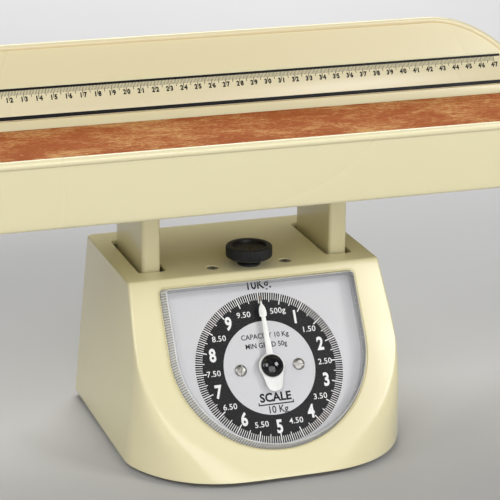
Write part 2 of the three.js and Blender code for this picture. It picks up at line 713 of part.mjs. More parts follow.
const YOKE_END_X = POST_X - POST_WIDTH / 2 - GAP;
const YOKE_REAR_Y = 28;
const YOKE_FRONT_Y = -24;
const TAB_TOP = YOKE_Z + 30;
const POST_SCREW_Y = 14;
const POST_SCREW_Z = YOKE_Z + 20;
const TONGUE_X = RACK_FOOT_X + SHEET + 1.5;

function makeCarriage() {
  const floor = block(-YOKE_END_X, YOKE_END_X, YOKE_FRONT_Y, YOKE_REAR_Y, YOKE_Z, YOKE_Z + SHEET);
  const shelfX = SPRING_X + 7;
  const springShelf = block(-shelfX, shelfX, KNOB_Y - 5, YOKE_FRONT_Y + 1, YOKE_Z, YOKE_Z + SHEET);
  const tab = block(YOKE_END_X - SHEET, YOKE_END_X, -POST_DEPTH / 2 + 7, YOKE_REAR_Y, YOKE_Z, TAB_TOP);
  const lugTop = UPPER_ARM_Z + ARM_RISE + 5;
  const lug = block(LUG_X - SHEET / 2, LUG_X + SHEET / 2, ARM_FRONT_Y - 6, ARM_FRONT_Y + 6, YOKE_Z, lugTop);
  const [pinY, pinZ] = panelPoint(PIN_UP, PIN_OUT);
  const tongue = sidePlate([
    [YOKE_FRONT_Y + 2, YOKE_Z],
    [YOKE_FRONT_Y + 2, YOKE_Z + 8],
    [pinY + 6, pinZ + 4],
    [pinY - 4, pinZ + 4],
    [pinY - 4, pinZ - 4],
    [pinY + 6, pinZ - 6],
  ], TONGUE_X, TONGUE_X + SHEET);
  const holes = [
    crossRod(PIN_RADIUS + GAP, -80, 80, ARM_FRONT_Y, UPPER_ARM_Z + ARM_RISE),
    crossRod(PIN_RADIUS + GAP, -80, 80, ARM_FRONT_Y, LOWER_ARM_Z + ARM_RISE),
    crossRod(RACK_PIN_RADIUS + GAP, 0, 80, pinY, pinZ),
    crossRod(M3 + GAP, -80, 80, -POST_SCREW_Y, POST_SCREW_Z),
    crossRod(M3 + GAP, -80, 80, POST_SCREW_Y, POST_SCREW_Z),
  ];
  return cutAll(combine([floor, springShelf, tongue, ...mirroredPair(tab), ...mirroredPair(lug)]), holes);
}

addPiece('carriage', makeCarriage(), STEEL());

const [RACK_PIN_Y, RACK_PIN_Z] = panelPoint(PIN_UP, PIN_OUT);
const rackPin = combine([
  crossRod(RACK_PIN_RADIUS, RACK_FOOT_X + GAP, TONGUE_X + SHEET + 2, RACK_PIN_Y, RACK_PIN_Z),
  crossRod(RACK_PIN_RADIUS + 1, TONGUE_X + SHEET + GAP, TONGUE_X + SHEET + 2, RACK_PIN_Y, RACK_PIN_Z),
]);
addPiece('rack_pin', rackPin, STEEL());

const TRAY_SCREW_Y = 20;
const TRAY_SCREW_HEAD = 3.4;
const TRAY_SCREW_SINK = 1.7;

function makePost() {
  const halfX = POST_WIDTH / 2;
  const halfY = POST_DEPTH / 2;
  const blade = plate(roundedRectangle(halfX, -halfY, halfY, POST_CORNER), YOKE_Z, POST_TOP);
  const hollow = plate(roundedRectangle(halfX - POST_WALL, -halfY + POST_WALL, halfY - POST_WALL, 1),
    YOKE_Z - 1, POST_TOP - 5);
  const screwHoles = [-1, 1].map((end) => rod(M3 + GAP, POST_TOP - 20, POST_TOP + 5, 12)
    .translate([0, end * TRAY_SCREW_Y, 0]));
  const sideHoles = [-1, 1].map((end) => crossRod(M3 + GAP, -20, 0, end * POST_SCREW_Y, POST_SCREW_Z));
  return cutAll(blade, [hollow, ...screwHoles, ...sideHoles]);
}

const rightPost = makePost();
addPiece('post_right', rightPost.translate([POST_X, 0, 0]), CREAM());
addPiece('post_left', rightPost.mirror([1, 0, 0]).translate([-POST_X, 0, 0]), CREAM());

[-1, 1].forEach((side) => [-1, 1].forEach((end) => {
  const name = `${side < 0 ? 'left' : 'right'}_${end < 0 ? 'front' : 'rear'}`;
  const postScrew = panScrew(M3, 2.6, 1.6, 4).rotate([0, -side * 90, 0])
    .translate([side * (YOKE_END_X - SHEET - GAP), end * POST_SCREW_Y, POST_SCREW_Z]);
  addPiece(`post_screw_${name}`, postScrew, ZINC());
  const trayScrew = flatScrew(M3, TRAY_SCREW_HEAD, TRAY_SCREW_SINK, 9)
    .translate([side * POST_X, end * TRAY_SCREW_Y, TRAY_Z + TRAY_WALL - GAP]);
  addPiece(`tray_screw_${name}`, trayScrew, ZINC());
}));

// ---------------------------------------------------------------- guide arms and pins

const RAIL_X = LUG_X - SHEET / 2 - 2;
const ARM_ANGLE = Math.atan2(ARM_RISE, ARM_REACH);
const ARM_EYE = 4;

// An arm about its rear pin at the origin, reaching towards -Y.
function makeArm() {
  const rail = combine([
    block(RAIL_X - SHEET, RAIL_X, -ARM_LENGTH, 0, -ARM_EYE, ARM_EYE),
    crossRod(ARM_EYE, RAIL_X - SHEET, RAIL_X, 0, 0),
    crossRod(ARM_EYE, RAIL_X - SHEET, RAIL_X, -ARM_LENGTH, 0),
  ]);
  const web = block(-RAIL_X + 1, RAIL_X - 1, -ARM_LENGTH + 14, -12, -1, 1);
  const opening = block(-RAIL_X + 10, RAIL_X - 10, -ARM_LENGTH + 22, -20, -5, 5);
  const play = 1.2; // the front pin swings on an arc, so its eye is a slot
  const frontSlot = combine([
    crossRod(PIN_RADIUS + GAP, -80, 80, -ARM_LENGTH - play, 0),
    crossRod(PIN_RADIUS + GAP, -80, 80, -ARM_LENGTH + play, 0),
    block(-80, 80, -ARM_LENGTH - play, -ARM_LENGTH + play, -PIN_RADIUS - GAP, PIN_RADIUS + GAP),
  ]);
  const rearHole = crossRod(PIN_RADIUS + GAP, -80, 80, 0, 0);
  return cutAll(combine([web, ...mirroredPair(rail)]), [opening, frontSlot, rearHole]);
}

const armSolid = makeArm().rotate([-THREE.MathUtils.radToDeg(ARM_ANGLE), 0, 0]);
[['upper', UPPER_ARM_Z], ['lower', LOWER_ARM_Z]].forEach(([name, z]) => {
  addPiece(`${name}_arm`, armSolid.translate([0, ARM_REAR_Y, z]), ZINC());
  const rearReach = CHEEK_X + SHEET / 2 + 1.5;
  const frontReach = LUG_X + SHEET / 2 + 1.5;
  addPiece(`${name}_rear_pin`, crossRod(PIN_RADIUS, -rearReach, rearReach, ARM_REAR_Y, z), STEEL());
  const frontPin = crossRod(PIN_RADIUS, -frontReach, frontReach, ARM_FRONT_Y, z + ARM_RISE);
  addPiece(`${name}_front_pin`, frontPin, STEEL());
});

// ---------------------------------------------------------------- springs and zero adjustment

class Helix extends THREE.Curve {
  constructor(radius, turns, low, high) {
    super();
    this.radius = radius;
    this.turns = turns;
    this.low = low;
    this.high = high;
  }

  getPoint(t, target = new THREE.Vector3()) {
    const lead = 0.06; // share of the curve in each straight end
    const height = this.low + (this.high - this.low) * t;
    const wound = Math.min(Math.max((t - lead) / (1 - 2 * lead), 0), 1);
    const reach = this.radius * Math.min(1, Math.min(t, 1 - t) / lead);
    const angle = wound * this.turns * 2 * Math.PI;
    return target.set(reach * Math.cos(angle), reach * Math.sin(angle), height);
  }
}

const SPRING_LOW = YOKE_Z + SHEET + GAP + 1;
const SPRING_HIGH = HANGER_Z - GAP - 1;

function makeSpring() {
  const wire = new THREE.Shape();
  wire.absarc(0, 0, WIRE_RADIUS, 0, 2 * Math.PI, false);
  const path = new Helix(SPRING_RADIUS, SPRING_TURNS, SPRING_LOW, SPRING_HIGH);
  const geometry = new THREE.ExtrudeGeometry(wire, {
    steps: SPRING_TURNS * 10, extrudePath: path, curveSegments: 2, bevelEnabled: false,
  });
  return solidFrom(geometry);
}

const springSolid = makeSpring();
addPiece('main_spring_left', springSolid.translate([-SPRING_X, KNOB_Y, 0]), STEEL());
addPiece('main_spring_right', springSolid.translate([SPRING_X, KNOB_Y, 0]), STEEL());

function makeHanger() {
  const bar = block(-SPRING_X - 5, SPRING_X + 5, KNOB_Y - 5, KNOB_Y + 5, HANGER_Z, HANGER_Z + HANGER_HEIGHT);
  return bar.subtract(rod(SPINDLE_RADIUS + GAP, 0, 200).translate([0, KNOB_Y, 0]));
}

addPiece('spring_hanger', makeHanger(), STEEL());

const KNOB_BOTTOM = TOP_Z + GAP;
const KNOB_TOP = KNOB_BOTTOM + KNOB_HEIGHT;
const KNOB_DISH = 2;
const KNOB_SCREW = 1.3;
const KNOB_SCREW_HEAD = 3;
const KNOB_SCREW_SINK = 1.5;

function makeKnob() {
  const neckTop = KNOB_BOTTOM + 4.6;
  const body = turned([
    [0, KNOB_BOTTOM], [KNOB_FLANGE, KNOB_BOTTOM], [KNOB_FLANGE, KNOB_BOTTOM + 1.2],
    [KNOB_NECK, KNOB_BOTTOM + 2], [KNOB_NECK, neckTop - 0.8], [KNOB_RADIUS - 2, neckTop],
    [KNOB_RADIUS, neckTop + 1.2], [KNOB_RADIUS, KNOB_TOP - 1.2], [KNOB_RADIUS - 1.4, KNOB_TOP],
    [KNOB_RADIUS - 4.5, KNOB_TOP], [KNOB_RADIUS - 6.5, KNOB_TOP - KNOB_DISH], [0, KNOB_TOP - KNOB_DISH],
  ], 28);
  const bore = rod(SPINDLE_RADIUS + GAP, KNOB_BOTTOM - 1, KNOB_TOP - KNOB_DISH - 3);
  const dish = KNOB_TOP - KNOB_DISH;
  const sink = countersink(KNOB_SCREW, KNOB_SCREW_HEAD, KNOB_SCREW_SINK, 12).translate([0, 0, dish]);
  return cutAll(body, [bore, sink]).translate([0, KNOB_Y, 0]);
}

addPiece('zero_knob', makeKnob(), BLACK());

const knobScrew = flatScrew(KNOB_SCREW, KNOB_SCREW_HEAD, KNOB_SCREW_SINK, 7)
  .translate([0, KNOB_Y, KNOB_TOP - KNOB_DISH - GAP]);
addPiece('knob_screw', knobScrew, BRASS());

const spindleTop = KNOB_TOP - KNOB_DISH - 3 - GAP;
const spindle = rod(SPINDLE_RADIUS, HANGER_Z - 6, spindleTop)
  .subtract(rod(KNOB_SCREW + GAP, spindleTop - 8, spindleTop + 1, 12)).translate([0, KNOB_Y, 0]);
addPiece('zero_spindle', spindle, STEEL());

const collarTop = CHASSIS_TOP - SHEET - GAP;
const collar = ring(SPINDLE_RADIUS + 3, SPINDLE_RADIUS + GAP, collarTop - 1.2, collarTop)
  .translate([0, KNOB_Y, 0]);
addPiece('spindle_collar', collar, STEEL());

// ---------------------------------------------------------------- tray, mat and ruler

// Rim height above the underside of the tray at a place.
function rimHeight(x, y) {
  const middle = (FRONT_RIM + REAR_RIM) / 2;
  const tilt = ((REAR_RIM - FRONT_RIM) * y) / TRAY_DEPTH;
  const past = Math.max(0, Math.abs(x) - SHOULDER_START);
  const fall = SHOULDER_RADIUS - Math.sqrt(Math.max(0, SHOULDER_RADIUS ** 2 - past ** 2));
  const soft = 3; // rounds the foot of the shoulder into the end rim
  const shoulder = middle - fall - END_RIM;
  const blended = (shoulder + Math.sqrt(shoulder ** 2 + soft ** 2 * 4)) / 2;
  return END_RIM + blended + tilt;
}

// The tray's outline at a height above its underside, moved inwards by inset.
function trayOutline(height, inset) {
  const front = -TRAY_DEPTH / 2 + BEAD_RADIUS + (FRONT_RIM - height) * FRONT_LEAN + inset;
  const rear = TRAY_DEPTH / 2 - BEAD_RADIUS - (REAR_RIM - height) * REAR_LEAN - inset * 1.15;
  const end = TRAY_LENGTH / 2 - BEAD_RADIUS - (END_RIM - height) * END_LEAN - inset * 1.1;
  return roundedRectangle(end, front, rear, TRAY_CORNER - inset);
}

function trayLoft(low, high, inset) {
  return loft([low, high], (height) => trayOutline(height, inset).getPoints(5).slice(0, -1))
    .translate([0, 0, TRAY_Z]);
}

// Everything below the rim surface, as a prism across the tray.
function belowRim() {
  const reach = TRAY_LENGTH / 2 + 20;
  const outline = [new THREE.Vector2(reach, -5), new THREE.Vector2(reach, rimHeight(reach, 0))];
  const steps = 12;
  for (let side = 1; side >= -1; side -= 2) {
    for (let i = 0; i <= steps; i += 1) {
      const share = side > 0 ? 1 - i / steps : i / steps;
      const x = side * (SHOULDER_START - 6 + share * (TRAY_LENGTH / 2 - SHOULDER_START + 6));
      outline.push(new THREE.Vector2(x, rimHeight(x, 0)));
    }
  }
  outline.push(new THREE.Vector2(-reach, rimHeight(reach, 0)), new THREE.Vector2(-reach, -5));
  const depth = TRAY_DEPTH + 40;
  const geometry = new THREE.ExtrudeGeometry(new THREE.Shape(outline), { depth, bevelEnabled: false });
  geometry.rotateX(Math.PI / 2);
  geometry.translate(0, depth / 2, 0);
  const position = geometry.attributes.position;
  for (let i = 0; i < position.count; i += 1) {
    const tilt = ((REAR_RIM - FRONT_RIM) * position.getY(i)) / TRAY_DEPTH;
    const lift = position.getZ(i) > 0 ? tilt : 0;
    position.setZ(i, TRAY_Z + position.getZ(i) + lift);
  }
  return solidFrom(geometry);
}

// The rolled bead round the rim, swept in two halves that overlap.
function makeBead() {
  const count = 84;
  const middle = TRAY_WALL * 0.5;
  const guess = trayOutline(FRONT_RIM, middle).getSpacedPoints(count).slice(0, -1);
  const points = guess.map((start, i) => {
    let height = rimHeight(start.x, start.y);
    let point = start;
    for (let pass = 0; pass < 4; pass += 1) {
      point = trayOutline(height, middle).getSpacedPoints(count)[i];
      height = rimHeight(point.x, point.y);
    }
    return new THREE.Vector3(point.x, point.y, TRAY_Z + height - BEAD_RADIUS * 0.4);
  });
  const section = new THREE.Shape();
  section.absarc(0, 0, BEAD_RADIUS, 0, 2 * Math.PI, false);
  const half = Math.floor(count / 2);
  const runs = [points.slice(0, half + 2), [...points.slice(half), points[0], points[1]]];
  const sweeps = runs.map((run) => solidFrom(new THREE.ExtrudeGeometry(section, {
    steps: run.length - 1,
    extrudePath: new THREE.CatmullRomCurve3(run),
    curveSegments: 3,
    bevelEnabled: false,
  })));
  return combine(sweeps);
}

function makeTray() {
  const tall = REAR_RIM + 12;
  const shell = trayLoft(0, tall, 0).subtract(trayLoft(TRAY_WALL, tall + 2, TRAY_WALL));
  const sink = countersink(M3, TRAY_SCREW_HEAD, TRAY_SCREW_SINK, 9);
  const floor = TRAY_Z + TRAY_WALL;
  const holes = [-1, 1].flatMap((side) => [-1, 1].map((end) => (
    sink.translate([side * POST_X, end * TRAY_SCREW_Y, floor]))));
  return cutAll(shell.intersect(belowRim()).add(makeBead()), holes);
}

addPiece('tray', makeTray(), CREAM());

function makeMat() {
  const low = TRAY_WALL + GAP;
  const inset = TRAY_WALL + MAT_CLEARANCE;
  return plate(trayOutline(low, inset), 0, MAT_THICKNESS, 6).translate([0, 0, TRAY_Z + low]);
}

addPiece('mat', makeMat(), finish(0xa85e33, 0.6, 0));

function makeRuler() {
  const cut = 5;
  const half = RULER_HALF_LENGTH;
  const strip = plate([
    [-half, 0], [half, 0], [half, RULER_WIDTH - cut], [half - cut, RULER_WIDTH],
    [-half + cut, RULER_WIDTH], [-half, RULER_WIDTH - cut],
  ], 0, RULER_THICKNESS);
  const lean = Math.atan(REAR_LEAN);
  const rearFace = TRAY_DEPTH / 2 - BEAD_RADIUS - (REAR_RIM - RULER_LOW) * REAR_LEAN - TRAY_WALL * 1.15;
  return strip.rotate([90 - THREE.MathUtils.radToDeg(lean), 0, 0])
    .translate([0, rearFace - GAP / Math.cos(lean), TRAY_Z + RULER_LOW]);
}

addPiece('ruler_strip', makeRuler(), finish(0xefe8c4, 0.35, 0));

export default model;
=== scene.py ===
import json
import math

import bmesh
import bpy
from bpy.props import FloatProperty, FloatVectorProperty, IntProperty, PointerProperty
from mathutils import Matrix, Vector


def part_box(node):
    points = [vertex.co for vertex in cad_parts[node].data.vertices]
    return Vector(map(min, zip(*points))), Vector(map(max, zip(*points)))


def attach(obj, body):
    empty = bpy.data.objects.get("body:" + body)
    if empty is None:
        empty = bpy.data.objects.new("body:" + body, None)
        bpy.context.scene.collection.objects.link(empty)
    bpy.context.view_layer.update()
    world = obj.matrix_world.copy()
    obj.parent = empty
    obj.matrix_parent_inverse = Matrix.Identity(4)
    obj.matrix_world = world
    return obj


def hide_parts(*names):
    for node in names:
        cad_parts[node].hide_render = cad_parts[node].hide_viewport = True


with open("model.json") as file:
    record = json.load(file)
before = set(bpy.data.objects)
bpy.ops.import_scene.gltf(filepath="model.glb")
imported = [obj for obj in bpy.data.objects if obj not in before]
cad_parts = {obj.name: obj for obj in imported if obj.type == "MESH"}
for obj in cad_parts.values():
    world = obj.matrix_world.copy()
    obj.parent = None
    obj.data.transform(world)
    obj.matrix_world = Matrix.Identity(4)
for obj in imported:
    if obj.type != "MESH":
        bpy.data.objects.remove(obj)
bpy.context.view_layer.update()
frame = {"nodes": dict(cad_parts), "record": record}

bl_info = {
    "name": "Baby Scale",
    "version": (1, 0, 0),
    "blender": (4, 5, 0),
    "location": "3D Viewport > Sidebar > Scale",
    "description": "Builds the visible pieces and finishes of a spring baby scale around its CAD frame",
    "category": "Object",
}

MM = 0.001

# ------------------------------------------------------------------ sizes that the frame gives, in mm


def box_mm(node):
    low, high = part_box(node)
    return low / MM, high / MM


HOUSING_LOW, HOUSING_HIGH = box_mm("housing")
MAT_LOW, MAT_HIGH = box_mm("mat")
POST_LOW, POST_HIGH = box_mm("post_right")
KNOB_LOW, KNOB_HIGH = box_mm("zero_knob")
TOP_Z = HOUSING_HIGH.z
BOTTOM_Z = HOUSING_LOW.z
HEIGHT = TOP_Z - BOTTOM_Z
KNOB_Y = (KNOB_LOW.y + KNOB_HIGH.y) / 2
POST_X = (POST_LOW.x + POST_HIGH.x) / 2
TRAY_Z = box_mm("tray")[0].z


# ------------------------------------------------------------------ settings a user would change


def length(name, description, millimetres):
    return FloatProperty(name=name, description=description, default=millimetres * MM,
                         unit="LENGTH", precision=5)


def number(name, description, value):
    return IntProperty(name=name, description=description, default=value)


def colour(name, description, value):
    return FloatVectorProperty(name=name, description=description, default=value, size=3,
                               subtype="COLOR", min=0.0, max=1.0)


class HousingSizes(bpy.types.PropertyGroup):
    """Sizes of the sloping housing."""

    top_half_width: length("Top half width", "Half the width of the top face", 82.6)
    top_front: length("Top front", "Front edge of the top face", -50.0)
    top_rear: length("Top rear", "Rear edge of the top face", 51.8)
    side_flare: length("Side flare", "How much wider each side is at the bottom", 7.9)
    rear_flare: length("Rear flare", "How much further back the bottom reaches", 9.5)
    panel_tilt: FloatProperty(name="Panel tilt", description="Lean of the dial panel from the vertical",
                              default=math.radians(32), unit="ROTATION")
    corner_sweep: length("Corner sweep", "How far back the front corners reach at the bottom", 49.0)
    rim_radius: length("Rim radius", "Rounding of the top edge", 1.1)
    wall: length("Wall", "Thickness of the moulding", 2.5)


class DialSizes(bpy.types.PropertyGroup):
    """Sizes of the window, dial and pointer."""

    window_half: length("Window half width", "Half the width of the window", 63.8)
    centre_drop: length("Dial centre", "Dial centre below the top edge, along the panel", 61.3)
    recess: length("Recess", "Dial face below the panel", 4.5)
    cover_proud: length("Cover height", "Face of the clear cover above the panel", 7.0)
    ring_outer: length("Ring outer radius", "Outer radius of the black ring", 47.8)
    ring_inner: length("Ring inner radius", "Inner radius of the black ring", 29.7)
    full_scale: number("Full scale", "Kilograms in one turn of the pointer", 10)
    pointer: length("Pointer length", "Centre to tip", 44.5)
    tail: length("Pointer tail", "Centre to the end of the tail", 15.8)


class TraySizes(bpy.types.PropertyGroup):
    """Sizes of the tray, mat and ruler."""

    length: length("Length", "Overall length of the tray", 530.0)
    depth: length("Depth", "Overall depth over the rims", 246.0)
    front_rim: length("Front rim", "Height of the front rim", 43.0)
    rear_rim: length("Rear rim", "Height of the rear rim", 54.5)
    end_rim: length("End rim", "Height of the end rims", 18.0)
    corner: length("Corner radius", "Corners in plan", 20.0)
    bead: length("Bead radius", "Radius of the rolled rim", 2.6)
    ruler_centimetres: number("Ruler length", "Last numbered centimetre", 47)


class Finishes(bpy.types.PropertyGroup):
    """Colours of the finishes, linear."""

    cream: colour("Cream", "Moulded cream plastic and enamel", (0.8, 0.735, 0.47))
    cream_deep: colour("Cream shade", "Its slightly darker variation", (0.785, 0.715, 0.45))
    film: colour("Ruler film", "Printed film on the tray", (0.8, 0.745, 0.5))
    mat_dark: colour("Mat rust", "Ground colour of the mat", (0.37, 0.096, 0.024))
    mat_light: colour("Mat ochre", "Marbling of the mat", (0.62, 0.35, 0.13))
    dial: colour("Dial", "Light grey dial paint", (0.62, 0.62, 0.645))
    ink: colour("Ink", "Black printing", (0.012, 0.012, 0.013))
    knob: colour("Knob", "Black moulded plastic", (0.013, 0.013, 0.014))


# ------------------------------------------------------------------ places


def panel_matrix():
    """The panel frame: the dial centre on the face, x right, y up the panel, z outwards."""
    housing = bpy.context.scene.housing_sizes
    tilt = housing.panel_tilt
    drop = bpy.context.scene.dial_sizes.centre_drop / MM
    sin, cos = math.sin(tilt), math.cos(tilt)
    origin = (0, housing.top_front / MM - drop * sin, TOP_Z - drop * cos)
    axes = Matrix(((1, 0, 0), (0, sin, -cos), (0, cos, sin))).to_4x4()
    return Matrix.Translation(origin) @ axes


# ------------------------------------------------------------------ mesh helpers, in mm


WELD = 1e-4  # vertices closer than this are one


def add_loop(bm, points):
    """A closed loop of edges through the points."""
    verts = [bm.verts.new(p) for p in points]
    return verts, [bm.edges.new((verts[i - 1], verts[i])) for i in range(len(verts))]


def skin(bm, loops, close=False):
    """Bridges loops of equal counts in order, and caps or joins the two ends."""
    made = [add_loop(bm, points) for points in loops]
    pairs = list(zip(made, made[1:]))
    if close:
        pairs.append((made[-1], made[0]))
    for (_, low), (_, high) in pairs:
        bmesh.ops.bridge_loops(bm, edges=low + high)
    if not close:
        for verts, _ in (made[0], made[-1]):
            bm.faces.new(verts)
    bmesh.ops.recalc_face_normals(bm, faces=bm.faces)
    return made


def turned(bm, profile, steps=64, matrix=None):
    """Spins [radius, height] points about Z into a closed solid."""
    verts = [bm.verts.new((r, 0, z)) for r, z in profile]
    edges = [bm.edges.new(pair) for pair in zip(verts, verts[1:])]
    if profile[0][0] > 0 and profile[-1][0] > 0:
        edges.append(bm.edges.new((verts[-1], verts[0])))
    before = set(bm.verts) - set(verts)
    bmesh.ops.spin(bm, geom=verts + edges, cent=(0, 0, 0), axis=(0, 0, 1),
                   angle=math.tau, steps=steps, use_merge=True)
    bmesh.ops.remove_doubles(bm, verts=[v for v in bm.verts if v not in before], dist=WELD)
    made = [v for v in bm.verts if v not in before]
    bmesh.ops.recalc_face_normals(bm, faces=list({f for v in made for f in v.link_faces}))
    if matrix:
        bmesh.ops.transform(bm, matrix=matrix, verts=made)
    return made


def box(bm, low, high, matrix=None):
    size = Vector(high) - Vector(low)
    place = Matrix.Translation((Vector(high) + Vector(low)) / 2) @ Matrix.Diagonal((*size, 1))
    return bmesh.ops.create_cube(bm, size=1, matrix=(matrix or Matrix()) @ place)["verts"]


def prism(bm, points, low, high, matrix=None):
    """A flat outline given thickness."""
    made = skin(bm, [[(x, y, low) for x, y in points], [(x, y, high) for x, y in points]])
    if matrix:
        bmesh.ops.transform(bm, matrix=matrix, verts=[v for verts, _ in made for v in verts])


def new_object(name, bm, matrix=None):
    """An object in metres from a bmesh in mm."""
    bmesh.ops.transform(bm, matrix=Matrix.Scale(MM, 4) @ (matrix or Matrix()), verts=bm.verts)
    mesh = bpy.data.meshes.new(name)
    bm.to_mesh(mesh)
    bm.free()
    made = bpy.data.objects.new(name, mesh)
    bpy.context.scene.collection.objects.link(made)
    return made


def shift(piece, place):
    """Moves a piece's mesh by a matrix that counts in mm."""
    piece.data.transform(Matrix.Scale(MM, 4) @ place @ Matrix.Scale(1 / MM, 4))


def carve(piece, cutter, operation="DIFFERENCE"):
    """Cuts a solid out of the piece, or joins it on."""
    modifier = piece.modifiers.new("carve", "BOOLEAN")
    modifier.operation = operation
    modifier.solver = "EXACT"
    modifier.object = cutter
    bpy.context.view_layer.update()
    evaluated = piece.evaluated_get(bpy.context.evaluated_depsgraph_get())
    mesh = bpy.data.meshes.new_from_object(evaluated)
    piece.modifiers.clear()
    piece.data = mesh
    bpy.data.objects.remove(cutter)


def cut(piece, shape, *sizes):
    """Cuts away what a mesh helper makes of the sizes."""
    bm = bmesh.new()
    shape(bm, *sizes)
    carve(piece, new_object("cutter", bm))


def finish_piece(piece, body, slot, replaces=(), looks=None, angle=32):
    """Materials, smooth shading, the body it rides on and the CAD nodes it stands for."""
    for look in looks or [slot]:
        piece.data.materials.append(FINISHES[look])
    piece.data.shade_smooth()
    piece.data.set_sharp_from_angle(angle=math.radians(angle))
    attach(piece, body)
    if replaces:
        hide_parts(*replaces)


DIGIT_HEIGHT = 0.729  # of the built-in lettering, for a size of 1
INK = 0.05  # thickness of printing


def letters(bm, text, height, place, width, weight, material=0, spacing=1.0):
    """Raised lettering centred on the place's origin. Height is the height of a digit."""
    curve = bpy.data.curves.new("letters", "FONT")
    curve.body = text
    curve.align_x = "CENTER"
    curve.size = 1
    curve.offset = weight
    curve.resolution_u = 3
    curve.extrude = 0.5
    curve.space_character = spacing
    holder = bpy.data.objects.new("letters", curve)
    bpy.context.scene.collection.objects.link(holder)
    bpy.context.view_layer.update()
    evaluated = holder.evaluated_get(bpy.context.evaluated_depsgraph_get())
    mesh = bpy.data.meshes.new_from_object(evaluated)
    low = min(v.co.y for v in mesh.vertices)
    high = max(v.co.y for v in mesh.vertices)
    scale = height / DIGIT_HEIGHT
    middle = (low + high) / 2 if high - low > 0.5 else DIGIT_HEIGHT / 2
    sized = Matrix.Diagonal((scale * width, scale, INK, 1))
    mesh.transform(place @ sized @ Matrix.Translation((0, -middle, 0)))
    for face in mesh.polygons:
        face.material_index = material
    before = len(bm.verts)
    bm.from_mesh(mesh)
    bm.verts.ensure_lookup_table()
    bmesh.ops.remove_doubles(bm, verts=bm.verts[before:], dist=WELD)
    bpy.data.objects.remove(holder)
    bpy.data.curves.remove(curve)
    bpy.data.meshes.remove(mesh)


# ------------------------------------------------------------------ outlines, in mm

CREASE_CENTRE = 38.0  # from the top edge, down the panel
CREASE_RADIUS = 85.0
CREASE_TANGENT = 0.8  # share of the radius where the arc runs on straight
MIN_FLAT = 3.0
CORNER_RADIUS = 2.0
CORNER_POWER = 0.8
CORNER_STOP = math.radians(27)
SWEEP_POWER = 1.25
WINDOW_TOP = 6.1
WINDOW_ARC_CENTRE = 49.3
WINDOW_CORNER = 3.0
MIN_WINDOW_CORNER = 0.6


def quarter(steps):
    """Angles from 0 to a right angle."""
    return [math.pi / 2 * i / steps for i in range(steps + 1)]


def both_sides(right):
    """A symmetrical outline from its right half."""
    return right + [(-x, y) for x, y in reversed(right)]


def housing_outline(z, inset, corner_steps=14, rear_steps=5):
    """The housing's outline at a height, moved inwards."""
    sizes = bpy.context.scene.housing_sizes
    tilt = sizes.panel_tilt
    drop = min(max(TOP_Z - z, 0), HEIGHT)
    share = drop / HEIGHT
    along = drop / math.cos(tilt)
    side = (sizes.top_half_width + sizes.side_flare * share) / MM - inset
    rear = (sizes.top_rear + sizes.rear_flare * share) / MM - inset
    front = sizes.top_front / MM - drop * math.tan(tilt) + inset / math.cos(tilt)
    past = max(0, along - CREASE_CENTRE)
    turn = min(past, CREASE_RADIUS * CREASE_TANGENT)
    chord = math.sqrt(CREASE_RADIUS ** 2 - turn ** 2)
    arc = chord - (past - turn) * turn / chord
    flat = max(MIN_FLAT, min(arc, side - CORNER_RADIUS))
    sweep = CORNER_RADIUS + (sizes.corner_sweep / MM - CORNER_RADIUS) * (
        past / (HEIGHT / math.cos(tilt) - CREASE_CENTRE)) ** SWEEP_POWER
    across = math.cos(CORNER_STOP) ** CORNER_POWER
    back = 1 - math.sin(CORNER_STOP) ** CORNER_POWER
    right = []
    for i in range(corner_steps + 1):
        angle = math.pi / 2 + (CORNER_STOP - math.pi / 2) * i / corner_steps
        right.append((flat + (side - flat) * max(0, math.cos(angle)) ** CORNER_POWER / across,
                      front + sweep * (1 - math.sin(angle) ** CORNER_POWER) / back))
    radius = 2 * CORNER_RADIUS
    right = eased_end(right)
    right += arc_points(side - radius, rear - radius, radius, 0, math.pi / 2, rear_steps)
    return both_sides(right)


def eased_end(points, steps=4):
    """Rounds the soft edge where the corner curve meets the straight side."""
    start, corner = Vector(points[-2]), Vector(points[-1])
    end = corner + Vector((0, (corner - start).length))
    bend = [start.lerp(corner, i / steps).lerp(corner.lerp(end, i / steps), i / steps)
            for i in range(1, steps + 1)]
    return points[:-1] + [(p.x, p.y) for p in bend]


def arc_points(x, y, radius, start, end, steps):
    return [(x + radius * math.cos(start + (end - start) * i / steps),
             y + radius * math.sin(start + (end - start) * i / steps)) for i in range(steps + 1)]


def spaced(points, count):
    """The closed outline again, as count points at equal steps."""
    closed = [Vector((x, y)) for x, y in points]
    closed.append(closed[0])
    steps = [(b - a).length for a, b in zip(closed, closed[1:])]
    total = sum(steps)
    made, index, walked = [], 0, 0.0
    for i in range(count):
        target = total * i / count
        while walked + steps[index] < target:
            walked += steps[index]
            index += 1
        share = (target - walked) / steps[index] if steps[index] else 0
        point = closed[index].lerp(closed[index + 1], share)
        made.append((point.x, point.y))
    return made


def window_outline(inset, steps=48):
    """The window in the panel frame, moved inwards."""
    dial = bpy.context.scene.dial_sizes
    drop = dial.centre_drop / MM
    half = dial.window_half / MM - inset
    top = drop - WINDOW_TOP - inset
    centre = drop - WINDOW_ARC_CENTRE
    corner = max(MIN_WINDOW_CORNER, WINDOW_CORNER - inset / 2)
    return ([(half, centre)] + arc_points(half - corner, top - corner, corner, 0, math.pi / 2, 6)
            + arc_points(-half + corner, top - corner, corner, math.pi / 2, math.pi, 6)
            + arc_points(0, centre, half, math.pi, math.tau, steps)[:-1])


